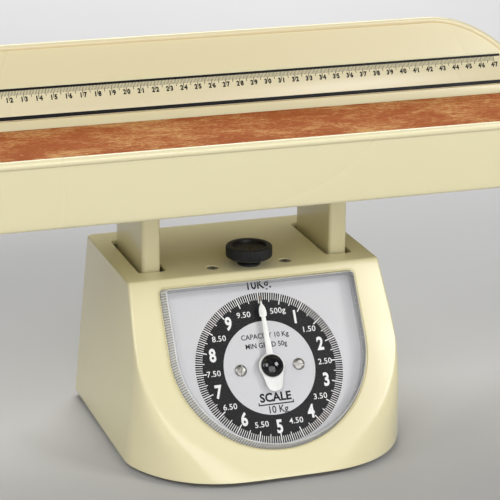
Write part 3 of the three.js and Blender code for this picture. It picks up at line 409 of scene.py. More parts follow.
def rounded_rectangle(half_x, low, high, radius, steps=6):
    return (arc_points(half_x - radius, low + radius, radius, -math.pi / 2, 0, steps)
            + arc_points(half_x - radius, high - radius, radius, 0, math.pi / 2, steps)
            + arc_points(-half_x + radius, high - radius, radius, math.pi / 2, math.pi, steps)
            + arc_points(-half_x + radius, low + radius, radius, math.pi, 1.5 * math.pi, steps))


def at_height(points, z):
    return [(x, y, z) for x, y in points]


# ------------------------------------------------------------------ material helpers


class Nodes:
    """A principled material and short ways to add pattern nodes to it."""

    def __init__(self, name, **sockets):
        self.material = bpy.data.materials.new(name)
        self.material.use_nodes = True
        self.tree = self.material.node_tree
        self.shader = self.tree.nodes["Principled BSDF"]
        for socket, value in sockets.items():
            self.shader.inputs[socket.replace("_", " ")].default_value = value
        self.place = self.add("ShaderNodeTexCoord").outputs["Object"]

    def add(self, kind, **settings):
        node = self.tree.nodes.new(kind)
        for key, value in settings.items():
            setattr(node, key, value)
        return node

    def link(self, source, target):
        self.tree.links.new(source, target)

    def stretched(self, scale, turn=(0, 0, 0)):
        mapping = self.add("ShaderNodeMapping")
        mapping.inputs["Scale"].default_value = scale
        mapping.inputs["Rotation"].default_value = turn
        self.link(self.place, mapping.inputs["Vector"])
        return mapping.outputs["Vector"]

    def noise(self, scale, detail=3.0, roughness=0.5, distortion=0.0, place=None):
        node = self.add("ShaderNodeTexNoise")
        node.inputs["Scale"].default_value = scale
        node.inputs["Detail"].default_value = detail
        node.inputs["Roughness"].default_value = roughness
        node.inputs["Distortion"].default_value = distortion
        self.link(place or self.place, node.inputs["Vector"])
        return node.outputs["Fac"]

    def ramp(self, source, *stops):
        node = self.add("ShaderNodeValToRGB")
        elements = node.color_ramp.elements
        while len(elements) < len(stops):
            elements.new(0.5)
        for element, (position, value) in zip(elements, stops):
            element.position = position
            element.color = (*value, 1) if hasattr(value, "__len__") else (value, value, value, 1)
        self.link(source, node.inputs["Fac"])
        return node.outputs["Color"]

    def mix(self, factor, a, b, blend="MIX"):
        node = self.add("ShaderNodeMix", data_type="RGBA", blend_type=blend)
        for socket, value in (("Factor", factor), ("A", a), ("B", b)):
            self.set(node.inputs[socket], value)
        return node.outputs["Result"]

    def maths(self, operation, a, b):
        node = self.add("ShaderNodeMath", operation=operation)
        self.set(node.inputs[0], a)
        self.set(node.inputs[1], b)
        return node.outputs[0]

    def set(self, socket, value):
        if isinstance(value, bpy.types.NodeSocket):
            self.link(value, socket)
        elif socket.type == "RGBA":
            socket.default_value = (*value, 1)
        else:
            socket.default_value = value

    def bump(self, height, strength, distance):
        node = self.add("ShaderNodeBump")
        node.inputs["Strength"].default_value = strength
        node.inputs["Distance"].default_value = distance
        self.link(height, node.inputs["Height"])
        self.link(node.outputs["Normal"], self.shader.inputs["Normal"])

    def colour(self, source):
        self.link(source, self.shader.inputs["Base Color"])

    def roughness(self, source):
        self.link(source, self.shader.inputs["Roughness"])


def tint(value, factor):
    """The colour made lighter or darker."""
    return tuple(min(1.0, c * factor) for c in value)


def moulded(name, base, deep, gloss, grain, peel, **sockets):
    """Glossy plastic or enamel: slow colour drift, fine specks, faint orange peel."""
    made = Nodes(name, **sockets)
    drift = made.ramp(made.noise(6, 1), (0.2, base), (0.8, deep))
    specks = made.ramp(made.noise(2600, 2), (0.3, 0.992), (0.6, 1.0))
    made.colour(made.mix(1.0, drift, specks, "MULTIPLY"))
    made.roughness(made.ramp(made.noise(4, 0), (0.2, gloss[0]), (0.8, gloss[1])))
    made.bump(made.noise(peel, 2), grain, 0.0004)
    return made.material


def metal(name, base, gloss, stretch):
    """Plated or drawn metal with a brushed grain and a slow stain."""
    made = Nodes(name, Metallic=1.0)
    grain = made.noise(1, 5, 0.6, place=made.stretched(stretch))
    stain = made.noise(55, 3)
    stained = made.ramp(stain, (0.35, 0.0), (0.7, 1.0))
    made.colour(made.mix(stained, tint(base, 1.08), tint(base, 0.82)))
    made.roughness(made.ramp(grain, (0.3, gloss[0]), (0.7, gloss[1])))
    made.bump(grain, 0.12, 0.0002)
    return made.material


def ink_finish(name, base, gloss, specular=0.5):
    """Flat paint or printing ink."""
    made = Nodes(name, Specular_IOR_Level=specular)
    made.colour(made.ramp(made.noise(500, 2), (0.3, tint(base, 0.96)), (0.7, tint(base, 1.02))))
    made.roughness(made.ramp(made.noise(120, 3), (0.3, gloss[0]), (0.7, gloss[1])))
    return made.material


def dial_finish(colours):
    """Light grey silk-screened paint with a faint fine grain."""
    made = Nodes("dial_paint", Specular_IOR_Level=0.4)
    base = tuple(colours.dial)
    grain = made.ramp(made.noise(2200, 3), (0.3, tint(base, 0.975)), (0.7, tint(base, 1.02)))
    drift = made.ramp(made.noise(25, 2), (0.3, 0.97), (0.7, 1.0))
    made.colour(made.mix(1.0, grain, drift, "MULTIPLY"))
    made.roughness(made.ramp(made.noise(300, 3), (0.3, 0.34), (0.7, 0.46)))
    made.bump(made.noise(1800, 2), 0.04, 0.0002)
    return made.material


def mat_finish(colours):
    """Vinyl marbled in ochre streaks along the tray over a rust ground."""
    made = Nodes("mat_vinyl", Specular_IOR_Level=0.04)
    dark, light = tuple(colours.mat_dark), tuple(colours.mat_light)
    one_way, other_way = (0, 0, math.radians(8)), (0, 0, math.radians(-12))
    streaks = made.noise(1, 9, 0.72, 1.1, place=made.stretched((210, 520, 520), one_way))
    patches = made.noise(1, 3, 0.55, 0.8, place=made.stretched((26, 46, 46)))
    veins = made.noise(1, 6, 0.7, 2.2, place=made.stretched((90, 300, 300), other_way))
    amount = made.maths("ADD", made.maths("MULTIPLY", streaks, 0.45),
                        made.maths("MULTIPLY", patches, 0.3))
    amount = made.maths("ADD", amount, made.maths("MULTIPLY", veins, 0.25))
    middle = tuple(a * 0.55 + b * 0.45 for a, b in zip(dark, light))
    stops = ((0.42, tint(dark, 0.86)), (0.49, dark), (0.535, middle), (0.6, light))
    made.colour(made.ramp(amount, *stops))
    made.roughness(made.ramp(streaks, (0.3, 0.62), (0.7, 0.75)))
    made.bump(made.maths("ADD", streaks, made.noise(900, 3)), 0.12, 0.0005)
    return made.material


def clear_finish(name, alpha, base, rough):
    """Clear moulded plastic: mostly see-through, glossy, a little haze that varies."""
    made = Nodes(name, Roughness=rough, Specular_IOR_Level=0.9)
    made.colour(made.ramp(made.noise(160, 3), (0.3, tint(base, 0.92)), (0.7, base)))
    haze = made.ramp(made.noise(90, 3), (0.3, alpha * 0.85), (0.7, alpha * 1.15))
    made.link(haze, made.shader.inputs["Alpha"])
    return made.material


FINISHES = {}
ROUND_GRAIN = (500, 500, 500)
LONG_GRAIN = (60, 900, 900)


def make_finishes():
    """All the named finishes, made once. Each row gives a name, its colours and its gloss."""
    colours = bpy.context.scene.finishes
    cream, deep = tuple(colours.cream), tuple(colours.cream_deep)
    film, knob = tuple(colours.film), tuple(colours.knob)
    for name, base, second, gloss, grain, peel, sockets in (
            ("cream_plastic", cream, deep, (0.215, 0.23), 0.02, 700,
             {"Specular_IOR_Level": 0.45, "Coat_Weight": 0.12, "Coat_Roughness": 0.1}),
            ("cream_paint", cream, deep, (0.26, 0.31), 0.05, 480,
             {"Coat_Weight": 0.15, "Coat_Roughness": 0.1}),
            ("ruler_film", film, tint(film, 0.96), (0.24, 0.34), 0.02, 700, {}),
            ("knob_black", knob, tint(knob, 1.4), (0.34, 0.44), 0.1, 1500, {"Specular_IOR_Level": 0.3}),
            ("foot_rubber", (0.016, 0.016, 0.016), (0.03, 0.029, 0.028), (0.6, 0.8), 0.25, 900, {}),
            ("guide_nylon", (0.72, 0.71, 0.66), (0.64, 0.62, 0.56), (0.35, 0.5), 0.02, 700, {})):
        FINISHES[name] = moulded(name, base, second, gloss, grain, peel, **sockets)
    for name, base, gloss, specular in (
            ("ink", tuple(colours.ink), (0.32, 0.44), 0.12),
            ("white_ink", (0.83, 0.83, 0.83), (0.35, 0.45), 0.5),
            ("pointer_white", (0.82, 0.82, 0.8), (0.25, 0.35), 0.5),
            ("pointer_tip", (0.33, 0.25, 0.2), (0.3, 0.4), 0.5),
            ("hub_black", (0.004, 0.004, 0.005), (0.03, 0.06), 0.5)):
        FINISHES[name] = ink_finish(name, base, gloss, specular)
    for name, base, gloss, grain in (
            ("plated_steel", (0.6, 0.61, 0.6), (0.3, 0.45), LONG_GRAIN),
            ("bright_steel", (0.68, 0.68, 0.69), (0.18, 0.3), LONG_GRAIN[::-1]),
            # the next row is zinc darkened below the plated steel: partly the zinc's own grey, partly a
            # painted dark reflection on the screw heads
            ("zinc_screw", (0.36, 0.35, 0.33), (0.3, 0.46), ROUND_GRAIN),
            ("brass", (0.72, 0.52, 0.24), (0.2, 0.34), ROUND_GRAIN),
            # the next row is brass darkened nearly to black: painted shade and a painted dark reflection
            # for the knob screw sunk in its recess
            ("brass_painted_shade", (0.12, 0.1, 0.07), (0.4, 0.55), ROUND_GRAIN)):
        FINISHES[name] = metal(name, base, gloss, grain)
    for name, alpha, base, rough in (
            ("clear_face", 0.008, (0.5, 0.5, 0.52), 0.03),
            ("clear_wall", 0.2, (0.6, 0.61, 0.63), 0.08),
            # the next two rows are a painted highlight and a painted shade of the clear plastic, for the
            # lit and shaded faces of the ribbed walls
            ("clear_painted_highlight", 0.72, (0.86, 0.87, 0.89), 0.1),
            ("clear_painted_shade", 0.6, (0.34, 0.35, 0.36), 0.1)):
        FINISHES[name] = clear_finish(name, alpha, base, rough)
    FINISHES["mat_vinyl"] = mat_finish(colours)
    FINISHES["dial_paint"] = dial_finish(colours)


# ------------------------------------------------------------------ pieces


class ScaleStep:
    """What all the scale's operators share."""

    bl_options = {"REGISTER", "UNDO"}

    def execute(self, context):
        self.build(context)
        return {"FINISHED"}


FOOT_ROUND = 0.5  # rounding of the lower edge
HOLLOW_LEVELS = 28
BEYOND = 6.0  # how far a cut runs past the surface
LIP_WIDTH = 0.7
LIP_GROOVE = 0.55
LIP_DEPTH = 0.6
LIP_SECTION = [(0, -2.3), (0, -0.5), (0.05, -0.1), (0.2, 0.12), (0.4, 0.14), (0.58, 0), (0.7, -0.25),
               (0.7, -1.2), (1.6, -1.25), (1.6, -2.3)]
SLOT_HALF = (8.8, 34.5)
SLOT_CORNER = 3.0
SLOT_EDGE = ((-8, 0), (-0.35, 0), (0, 0.35), (2, 1.35))  # height and widening
TOP_SCREW_X = 24.0
SCREW_HOLE = [(0, -9), (2.3, -9), (2.3, -2.1), (3.9, -0.25), (4.2, 0), (5, 1), (0, 1)]
SPINDLE_HOLE = [(0, -9), (4, -9), (4, -0.4), (4.4, 0), (5.4, 1), (0, 1)]


class SCALE_OT_housing(ScaleStep, bpy.types.Operator):
    """Builds the cream housing with its lipped window, post slots and screw holes"""

    bl_idname = "scale.housing"
    bl_label = "Housing"

    levels: number("Levels", "Outlines between bottom and top", 56)

    def build(self, context):
        sizes = context.scene.housing_sizes
        rim, wall = sizes.rim_radius / MM, sizes.wall / MM
        loops = [(BOTTOM_Z + FOOT_ROUND * (1 - math.cos(t)), FOOT_ROUND * (1 - math.sin(t)))
                 for t in quarter(4)[:-1]]
        straight = HEIGHT - rim - FOOT_ROUND
        loops += [(BOTTOM_Z + FOOT_ROUND + straight * i / self.levels, 0)
                  for i in range(self.levels + 1)]
        loops += [(TOP_Z - rim + rim * math.sin(t), rim * (1 - math.cos(t))) for t in quarter(6)[1:]]
        bm = bmesh.new()
        skin(bm, [at_height(housing_outline(z, inset), z) for z, inset in loops])
        shell = new_object("housing_shell", bm)

        inner = [BOTTOM_Z + (HEIGHT - wall) * i / HOLLOW_LEVELS for i in range(HOLLOW_LEVELS + 1)]
        inner.insert(0, BOTTOM_Z - wall - 0.5)
        cut(shell, skin, [at_height(housing_outline(z, wall), z) for z in inner])

        panel = panel_matrix()
        cut(shell, prism, window_outline(-LIP_WIDTH - LIP_GROOVE), -LIP_DEPTH, BEYOND, panel)
        cut(shell, prism, window_outline(-LIP_WIDTH * 0.6), -BEYOND - 2, BEYOND, panel)
        bm = bmesh.new()
        skin(bm, [[(x, y, z) for x, y in window_outline(-out)] for out, z in LIP_SECTION], close=True)
        carve(shell, new_object("lip", bm, panel), "UNION")

        half_x, half_y = SLOT_HALF
        for side in (-1, 1):
            cut(shell, skin, [
                at_height([(x + side * POST_X, y) for x, y in rounded_rectangle(
                    half_x + out, -half_y - out, half_y + out, SLOT_CORNER + out)], TOP_Z + z)
                for z, out in SLOT_EDGE])
            cut(shell, turned, SCREW_HOLE, 32, Matrix.Translation((side * TOP_SCREW_X, KNOB_Y, TOP_Z)))
        cut(shell, turned, SPINDLE_HOLE, 32, Matrix.Translation((0, KNOB_Y, TOP_Z)))
        finish_piece(shell, "base", "cream_plastic", ["housing"], angle=30)


POST_CORNER = 2.5
POST_EDGE = 0.4


class SCALE_OT_posts(ScaleStep, bpy.types.Operator):
    """Builds the two flat posts that carry the tray"""

    bl_idname = "scale.posts"
    bl_label = "Posts"

    def build(self, context):
        half_x = (POST_HIGH.x - POST_LOW.x) / 2
        half_y = (POST_HIGH.y - POST_LOW.y) / 2
        for side, name in ((-1, "left"), (1, "right")):
            bm = bmesh.new()
            heights = ((POST_LOW.z, POST_EDGE), (POST_LOW.z + POST_EDGE, 0),
                       (POST_HIGH.z - POST_EDGE, 0), (POST_HIGH.z, POST_EDGE))
            skin(bm, [at_height([(x + side * POST_X, y) for x, y in rounded_rectangle(
                half_x - inset, -half_y + inset, half_y - inset, POST_CORNER - inset, 8)], z)
                      for z, inset in heights])
            blade = new_object(f"post_blade_{name}", bm)
            finish_piece(blade, "carriage", "cream_plastic", [f"post_{name}"])


TRAY_WALL = 2.5
FLOOR_RADIUS = 2.2  # under the tray
INNER_RADIUS = 3.4  # inside it
FILLET_STEPS = 5
WALL_STEPS = 10
FRONT_LEAN = math.tan(math.radians(12.5))
REAR_LEAN = math.tan(math.radians(29.6))
END_LEAN = math.tan(math.radians(24))
REAR_INSET = 1.15  # how far the rear and end walls move for 1 mm of thickness
END_INSET = 1.1
SHOULDER_START = 184.0
SHOULDER_RADIUS = 78.0
SHOULDER_SOFT = 3.0
TRAY_RUNS = (484.0, 190.0, 31.4)  # how the points are shared: long side, short side, corner


class SCALE_OT_tray(ScaleStep, bpy.types.Operator):
    """Builds the trough-shaped tray with its rolled rim"""

    bl_idname = "scale.tray"
    bl_label = "Tray"

    around: number("Around", "Points around the rim", 520)
    section: number("Bead section", "Points across the rolled rim", 14)

    def build(self, context):
        bead = context.scene.tray_sizes.bead / MM
        rim = rim_path(self.around)
        tangents = [(rim[(i + 1) % len(rim)] - rim[i - 1]).normalized() for i in range(len(rim))]
        foot_out = self.ring(FLOOR_RADIUS, 0)
        foot_in = self.ring(TRAY_WALL + INNER_RADIUS, TRAY_WALL)
        frames = []
        for centre, tangent, low in zip(rim, tangents, foot_out):
            up = centre - low
            up = (up - tangent * up.dot(tangent)).normalized()
            outward = up.cross(tangent).normalized()
            if outward.dot(Vector((centre.x, centre.y, 0))) < 0:
                outward.negate()
            frames.append((centre, up, outward))
        half = TRAY_WALL / 2
        lift = math.sqrt(bead ** 2 - half ** 2)
        start = math.atan2(-lift, half)
        end = math.atan2(-lift, -half) + math.tau
        top_out = [c - u * lift + o * half for c, u, o in frames]
        top_in = [c - u * lift - o * half for c, u, o in frames]

        turns = quarter(FILLET_STEPS)[1:]
        loops = [self.ring(0, 0, 8), self.ring(0, 0, 3)]
        loops += [self.fillet(FLOOR_RADIUS, 0, turn) for turn in turns]
        loops += self.wall(foot_out, top_out)
        for i in range(1, self.section):
            angle = start + (end - start) * i / self.section
            loops.append([c + (o * math.cos(angle) + u * math.sin(angle)) * bead for c, u, o in frames])
        loops += reversed(self.wall(foot_in, top_in))
        loops += [self.fillet(INNER_RADIUS, TRAY_WALL, turn) for turn in reversed(turns)]
        loops += [self.ring(TRAY_WALL, TRAY_WALL, INNER_RADIUS + further) for further in (3, 8)]
        bm = bmesh.new()
        skin(bm, loops)
        finish_piece(new_object("tray_shell", bm), "carriage", "cream_paint", ["tray"], angle=35)

    def ring(self, height, inset, further=0):
        """A level loop of the tray's outline."""
        return [Vector((*tray_point(i, self.around, height, inset + further), TRAY_Z + height))
                for i in range(self.around)]

    def fillet(self, radius, floor, turn):
        """A loop of the rounded edge between the floor and the walls."""
        height = floor + radius * (1 - math.cos(turn))
        return self.ring(height, floor, radius * (1 - math.sin(turn)))

    def wall(self, low, high):
        """Loops from just above low to high."""
        return [[a.lerp(b, i / WALL_STEPS) for a, b in zip(low, high)] for i in range(1, WALL_STEPS + 1)]


def tray_edges(height, inset):
    """The front, rear and end of the tray's outline at a height above its underside."""
    sizes = bpy.context.scene.tray_sizes
    bead = sizes.bead / MM
    front = -sizes.depth / MM / 2 + bead + (sizes.front_rim / MM - height) * FRONT_LEAN + inset
    rear = sizes.depth / MM / 2 - bead - (sizes.rear_rim / MM - height) * REAR_LEAN
    end = sizes.length / MM / 2 - bead - (sizes.end_rim / MM - height) * END_LEAN
    return front, rear - inset * REAR_INSET, end - inset * END_INSET


def tray_point(index, count, height, inset):
    """Point index of count around the tray's outline, at a height and moved inwards."""
    front, rear, end = tray_edges(height, inset)
    radius = max(2, bpy.context.scene.tray_sizes.corner / MM - inset)
    long_run, short_run = 2 * (end - radius), rear - front - 2 * radius
    long_share, short_share, corner_share = TRAY_RUNS
    walked = (2 * (long_share + short_share) + 4 * corner_share) * index / count
    runs = [(long_share, "front"), (corner_share, 0), (short_share, "right"), (corner_share, 1),
            (long_share, "rear"), (corner_share, 2), (short_share, "left"), (corner_share, 3)]
    centres = [(end - radius, front + radius), (end - radius, rear - radius),
               (-end + radius, rear - radius), (-end + radius, front + radius)]
    for run, kind in runs:
        if walked <= run:
            break
        walked -= run
    share = walked / run
    if kind == "front":
        return -end + radius + long_run * share, front
    if kind == "right":
        return end, front + radius + short_run * share
    if kind == "rear":
        return end - radius - long_run * share, rear
    if kind == "left":
        return -end, rear - radius - short_run * share
    angle = math.pi / 2 * (kind - 1 + share)
    x, y = centres[kind]
    return x + radius * math.cos(angle), y + radius * math.sin(angle)


def rim_height(x, y):
    """Height of the rim's top: level at the ends, raised between the shoulders, tilted to the rear."""
    sizes = bpy.context.scene.tray_sizes
    front, rear, end = sizes.front_rim / MM, sizes.rear_rim / MM, sizes.end_rim / MM
    tilt = (rear - front) * y / (sizes.depth / MM)
    past = max(0, abs(x) - SHOULDER_START)
    fall = SHOULDER_RADIUS - math.sqrt(max(0, SHOULDER_RADIUS ** 2 - past ** 2))
    shoulder = (front + rear) / 2 - fall - end
    blended = (shoulder + math.sqrt(shoulder ** 2 + 4 * SHOULDER_SOFT ** 2)) / 2
    return end + blended + tilt


def rim_path(count):
    """Centres of the rolled rim, all the way round."""
    bead = bpy.context.scene.tray_sizes.bead / MM
    made = []
    for i in range(count):
        height = bpy.context.scene.tray_sizes.front_rim / MM
        for _ in range(6):
            x, y = tray_point(i, count, height, TRAY_WALL / 2)
            height = rim_height(x, y)
        made.append(Vector((x, y, TRAY_Z + height - bead * 0.4)))
    return made


MAT_CLEARANCE = 3.0
MAT_CHAMFER = 0.3


class SCALE_OT_mat(ScaleStep, bpy.types.Operator):
    """Builds the vinyl mat on the tray's floor"""

    bl_idname = "scale.mat"
    bl_label = "Mat"

    around: number("Around", "Points around the mat", 260)
    edge: length("Edge radius", "Rounding of the upper edge", 0.9)

    def build(self, context):
        edge = self.edge / MM
        height = MAT_LOW.z - TRAY_Z
        loops = [(MAT_LOW.z, MAT_CHAMFER), (MAT_LOW.z + MAT_CHAMFER, 0)]
        loops += [(MAT_HIGH.z - edge + edge * math.sin(t), edge * (1 - math.cos(t))) for t in quarter(5)]
        loops += [(MAT_HIGH.z, edge + 1.5), (MAT_HIGH.z, edge + 6)]
        bm = bmesh.new()
        skin(bm, [[(*tray_point(i, self.around, height, TRAY_WALL + MAT_CLEARANCE + out), z)
                   for i in range(self.around)] for z, out in loops])
        finish_piece(new_object("mat_sheet", bm), "carriage", "mat_vinyl", ["mat"], angle=35)


RULER_WIDTH = 22.6
RULER_THICKNESS = 0.8
RULER_CORNER = 5
RULER_EDGE = 0.2
RULER_ZERO_X = -241.1
UPPER_LINE = (4, RULER_WIDTH - 2.4, RULER_WIDTH - 0.7)  # from the end, low edge, high edge
LOWER_LINE = (0.6, 0.25, 2.85)
MARKS_TOP = RULER_WIDTH - 2.3
MARKS = ((10, 6.6, 0.2), (5, 4.9, 0.2), (1, 3.3, 0.16))  # every so many mm, length and half width
NUMBER_HEIGHT = 3.3
NUMBER_DROP = (8.8, 6.1)  # one digit, two digits
TWO_DIGITS = ((0, -1.45), (1, 1.45))


class SCALE_OT_ruler(ScaleStep, bpy.types.Operator):
    """Builds the ruler film on the rear wall with its lines, divisions and numbers"""

    bl_idname = "scale.ruler"
    bl_label = "Ruler"

    def build(self, context):
        low, high = box_mm("ruler_strip")
        half = (high.x - low.x) / 2
        lean = math.atan(REAR_LEAN)
        up = Vector((0, math.sin(lean), math.cos(lean)))
        out = Vector((0, -math.cos(lean), math.sin(lean)))
        foot = Vector((0, high.y - RULER_WIDTH * math.sin(lean), high.z - RULER_WIDTH * math.cos(lean)))
        place = Matrix((
            (1, 0, 0, foot.x), (0, up.y, out.y, foot.y), (0, up.z, out.z, foot.z), (0, 0, 0, 1)))
        bm = bmesh.new()
        right = [(half, 0), (half, RULER_WIDTH - RULER_CORNER), (half - RULER_CORNER, RULER_WIDTH)]
        prism(bm, both_sides(right)[-1:] + both_sides(right)[:-1], 0, RULER_THICKNESS)
        bmesh.ops.bevel(bm, geom=[e for e in bm.edges if e.calc_length() < 1 or all(
            v.co.z > 0.5 for v in e.verts)], offset=RULER_EDGE, segments=2, profile=0.5,
            affect="EDGES", material=-1)
        film = new_object("ruler_strip_film", bm, place)
        finish_piece(film, "carriage", "ruler_film", ["ruler_strip"])

        bm = bmesh.new()
        face = RULER_THICKNESS
        for end, low, high in (UPPER_LINE, LOWER_LINE):
            box(bm, (-half + end, low, face), (half - end, high, face + INK))
        last = context.scene.tray_sizes.ruler_centimetres
        for mm in range(last * 10 + 1):
            x = RULER_ZERO_X + mm
            reach, thick = next(mark[1:] for mark in MARKS if mm % mark[0] == 0)
            box(bm, (x - thick, MARKS_TOP - reach, face), (x + thick, MARKS_TOP, face + INK))
        for cm in range(1, last + 1):
            digits = str(cm)
            for i, offset in TWO_DIGITS if cm >= 10 else ((0, 0),):
                place_of = (RULER_ZERO_X + 10 * cm + offset, MARKS_TOP - NUMBER_DROP[cm >= 10],
                            face + INK / 2)
                letters(bm, digits[i], NUMBER_HEIGHT, Matrix.Translation(place_of), 0.86, 0.055)
        print_object = new_object("ruler_print", bm, place)
        finish_piece(print_object, "carriage", "ruler_film", looks=["ink"])


DIAL_MARGIN = 3.0
DIAL_THICKNESS = 1.0
DIAL_SCREW_X = 19.0
DIAL_HOLES = ((-DIAL_SCREW_X, 1.8), (0, 3.9), (DIAL_SCREW_X, 1.8))  # place and radius
DIGIT_RADIUS = 37.2
HALF_RADIUS = 36.5
DIVISIONS = ((10, 6.9, 0.34), (5, 5.9, 0.26), (1, 4.6, 0.2))  # every so many, length, half width
BRACKET = (((-10.8, -23.4), (11.5, -22.6)), ((-11.2, -23.4), (-10.5, -21.4)),
           ((11.2, -23.4), (11.9, -21.4)))  # the line under the word, with its two ends


class SCALE_OT_dial(ScaleStep, bpy.types.Operator):
    """Builds the dial plate with its black ring, divisions and numbers"""

    bl_idname = "scale.dial"
    bl_label = "Dial"

    def build(self, context):
        sizes = context.scene.dial_sizes
        face = -sizes.recess / MM
        panel = panel_matrix()
        bm = bmesh.new()
        prism(bm, window_outline(-DIAL_MARGIN, 64), face - DIAL_THICKNESS, face)
        plate = new_object("dial_face", bm)
        for x, radius in DIAL_HOLES:
            drill = [(0, -20), (radius, -20), (radius, 20), (0, 20)]
            cut(plate, turned, drill, 32, Matrix.Translation((x, 0, 0)))
        shift(plate, panel)
        finish_piece(plate, "base", "dial_paint", ["dial_plate"])
        self.printing(context, face, panel)

    def printing(self, context, face, panel):
        sizes = context.scene.dial_sizes
        outer, inner, full = sizes.ring_outer / MM, sizes.ring_inner / MM, sizes.full_scale
        bm = bmesh.new()
        turned(bm, [(inner, face), (outer, face), (outer, face + INK), (inner, face + INK)], 160)
        low, high = face + INK, face + 2 * INK
        divisions = full * 20
        for i in range(divisions):
            reach, thick = next(mark[1:] for mark in DIVISIONS if i % mark[0] == 0)
            turn = Matrix.Rotation(-math.tau * i / divisions, 4, "Z")
            for vert in box(bm, (-thick, outer - reach, low), (thick, outer + 0.05, high), turn):
                for mark in vert.link_faces:
                    mark.material_index = 1
        top, on_plate = low + INK / 2, face + INK / 2
        for kilogram in range(1, full):
            angle = math.tau * kilogram / full
            place = (DIGIT_RADIUS * math.sin(angle), DIGIT_RADIUS * math.cos(angle), top)
            letters(bm, str(kilogram), 8.3, Matrix.Translation(place), 0.76, 0.034, 1)
        for half in range(full):
            angle = math.tau * (half + 0.5) / full
            text = "500g" if half == 0 else f"{half}.50"
            place = (HALF_RADIUS * math.sin(angle), HALF_RADIUS * math.cos(angle), top)
            letters(bm, text, 3.7, Matrix.Translation(place), 1.02, 0.006, 1, spacing=1.04)
        for text, size, x, y, width, weight in (
                (f"{full}Kg.", 6.3, 1.4, outer + 4.6, 0.86, 0.02),
                (f"CAPACITY {full} Kg", 3.3, 0.2, 19.8, 0.94, 0.014),
                ("MIN GRAD 50g", 3.3, 0.1, 13.9, 0.92, 0.014),
                ("SCALE", 5.4, 0.5, -18.6, 0.98, 0.035),
                (f"{full} Kg", 4.6, 0.8, -27, 0.9, 0.014)):
            letters(bm, text, size, Matrix.Translation((x, y, on_plate)), width, weight)
        for low_corner, high_corner in BRACKET:
            box(bm, (*low_corner, face), (*high_corner, face + INK))
        printed = new_object("dial_print", bm, panel)
        finish_piece(printed, "base", "dial_paint", looks=["ink", "white_ink"])


POINTER_LIFT = 4.0
DISC_RADIUS = 8.2
POINTER_THICKNESS = 0.8
POINTER_BORE = [(0, -20), (1.5, -20), (1.5, 20), (0, 20)]
TIP_START = 3.2  # from the point
TAIL_SIDE = ((0.8, 0), (2.4, 0.3), (3.8, 1.2), (4.7, 2.6), (5.2, 4.2))  # half width, from the tail
POINT_SIDE = ((1.35, 14.6), (1.3, 13.2), (2.2, 12.6), (2.4, 11), (2.35, 9.2), (1.9, 7.2), (1.2, 5.8),
              (0.6, 5), (0.42, 3), (0.3, 0))  # half width, from the point
HUB_RADIUS = 7.2
HUB_HEIGHT = 4.2
HUB_EDGE = 0.3


class SCALE_OT_pointer(ScaleStep, bpy.types.Operator):
    """Builds the pointer and the hub cap"""

    bl_idname = "scale.pointer"
    bl_label = "Pointer"

    def build(self, context):
        sizes = context.scene.dial_sizes
        reach, tail = sizes.pointer / MM, sizes.tail / MM
        low = -sizes.recess / MM + POINTER_LIFT
        right = [(x, -tail + y) for x, y in TAIL_SIDE] + [(6.7, -4.9)]
        right += arc_points(0, 0, DISC_RADIUS, -0.55, 1.3, 20) + [(1.95, 11)]
        right += [(x, reach - y) for x, y in POINT_SIDE]
        bm = bmesh.new()
        prism(bm, both_sides(right), low, low + POINTER_THICKNESS)
        rims = [e for e in bm.edges if abs(e.verts[0].co.z - e.verts[1].co.z) < WELD]
        bmesh.ops.bevel(bm, geom=rims, offset=0.12, segments=2, profile=0.5,
                        affect="EDGES", material=-1)
        bmesh.ops.bisect_plane(bm, geom=bm.verts[:] + bm.edges[:] + bm.faces[:],
                               plane_co=(0, reach - TIP_START, 0), plane_no=(0, 1, 0))
        for face in bm.faces:
            if face.calc_center_median().y > reach - TIP_START:
                face.material_index = 1
        panel = panel_matrix()
        blade = new_object("pointer_blade", bm)
        cut(blade, turned, POINTER_BORE, 24)
        shift(blade, panel)
        finish_piece(blade, "dial_hand", "pointer_white", ["pointer"], ["pointer_white", "pointer_tip"])
        base = low + POINTER_THICKNESS + HUB_EDGE
        dome = [(0, base), (HUB_RADIUS - HUB_EDGE, base), (HUB_RADIUS, base + HUB_EDGE)]
        dome += [(HUB_RADIUS * math.cos(t),
                  base + 2 * HUB_EDGE + (HUB_HEIGHT - 2 * HUB_EDGE) * math.sin(t))
                 for t in quarter(12)[:-1]]
        dome.append((0, base + HUB_HEIGHT))
        bm = bmesh.new()
        turned(bm, dome, 64)
        finish_piece(new_object("hub_dome", bm, panel), "dial_hand", "hub_black", ["hub_cap"], angle=50)


COVER_DRAFT = math.tan(math.radians(15))
COVER_WALL = 1.8
COVER_INSET = 0.35
COVER_EDGE = 0.9


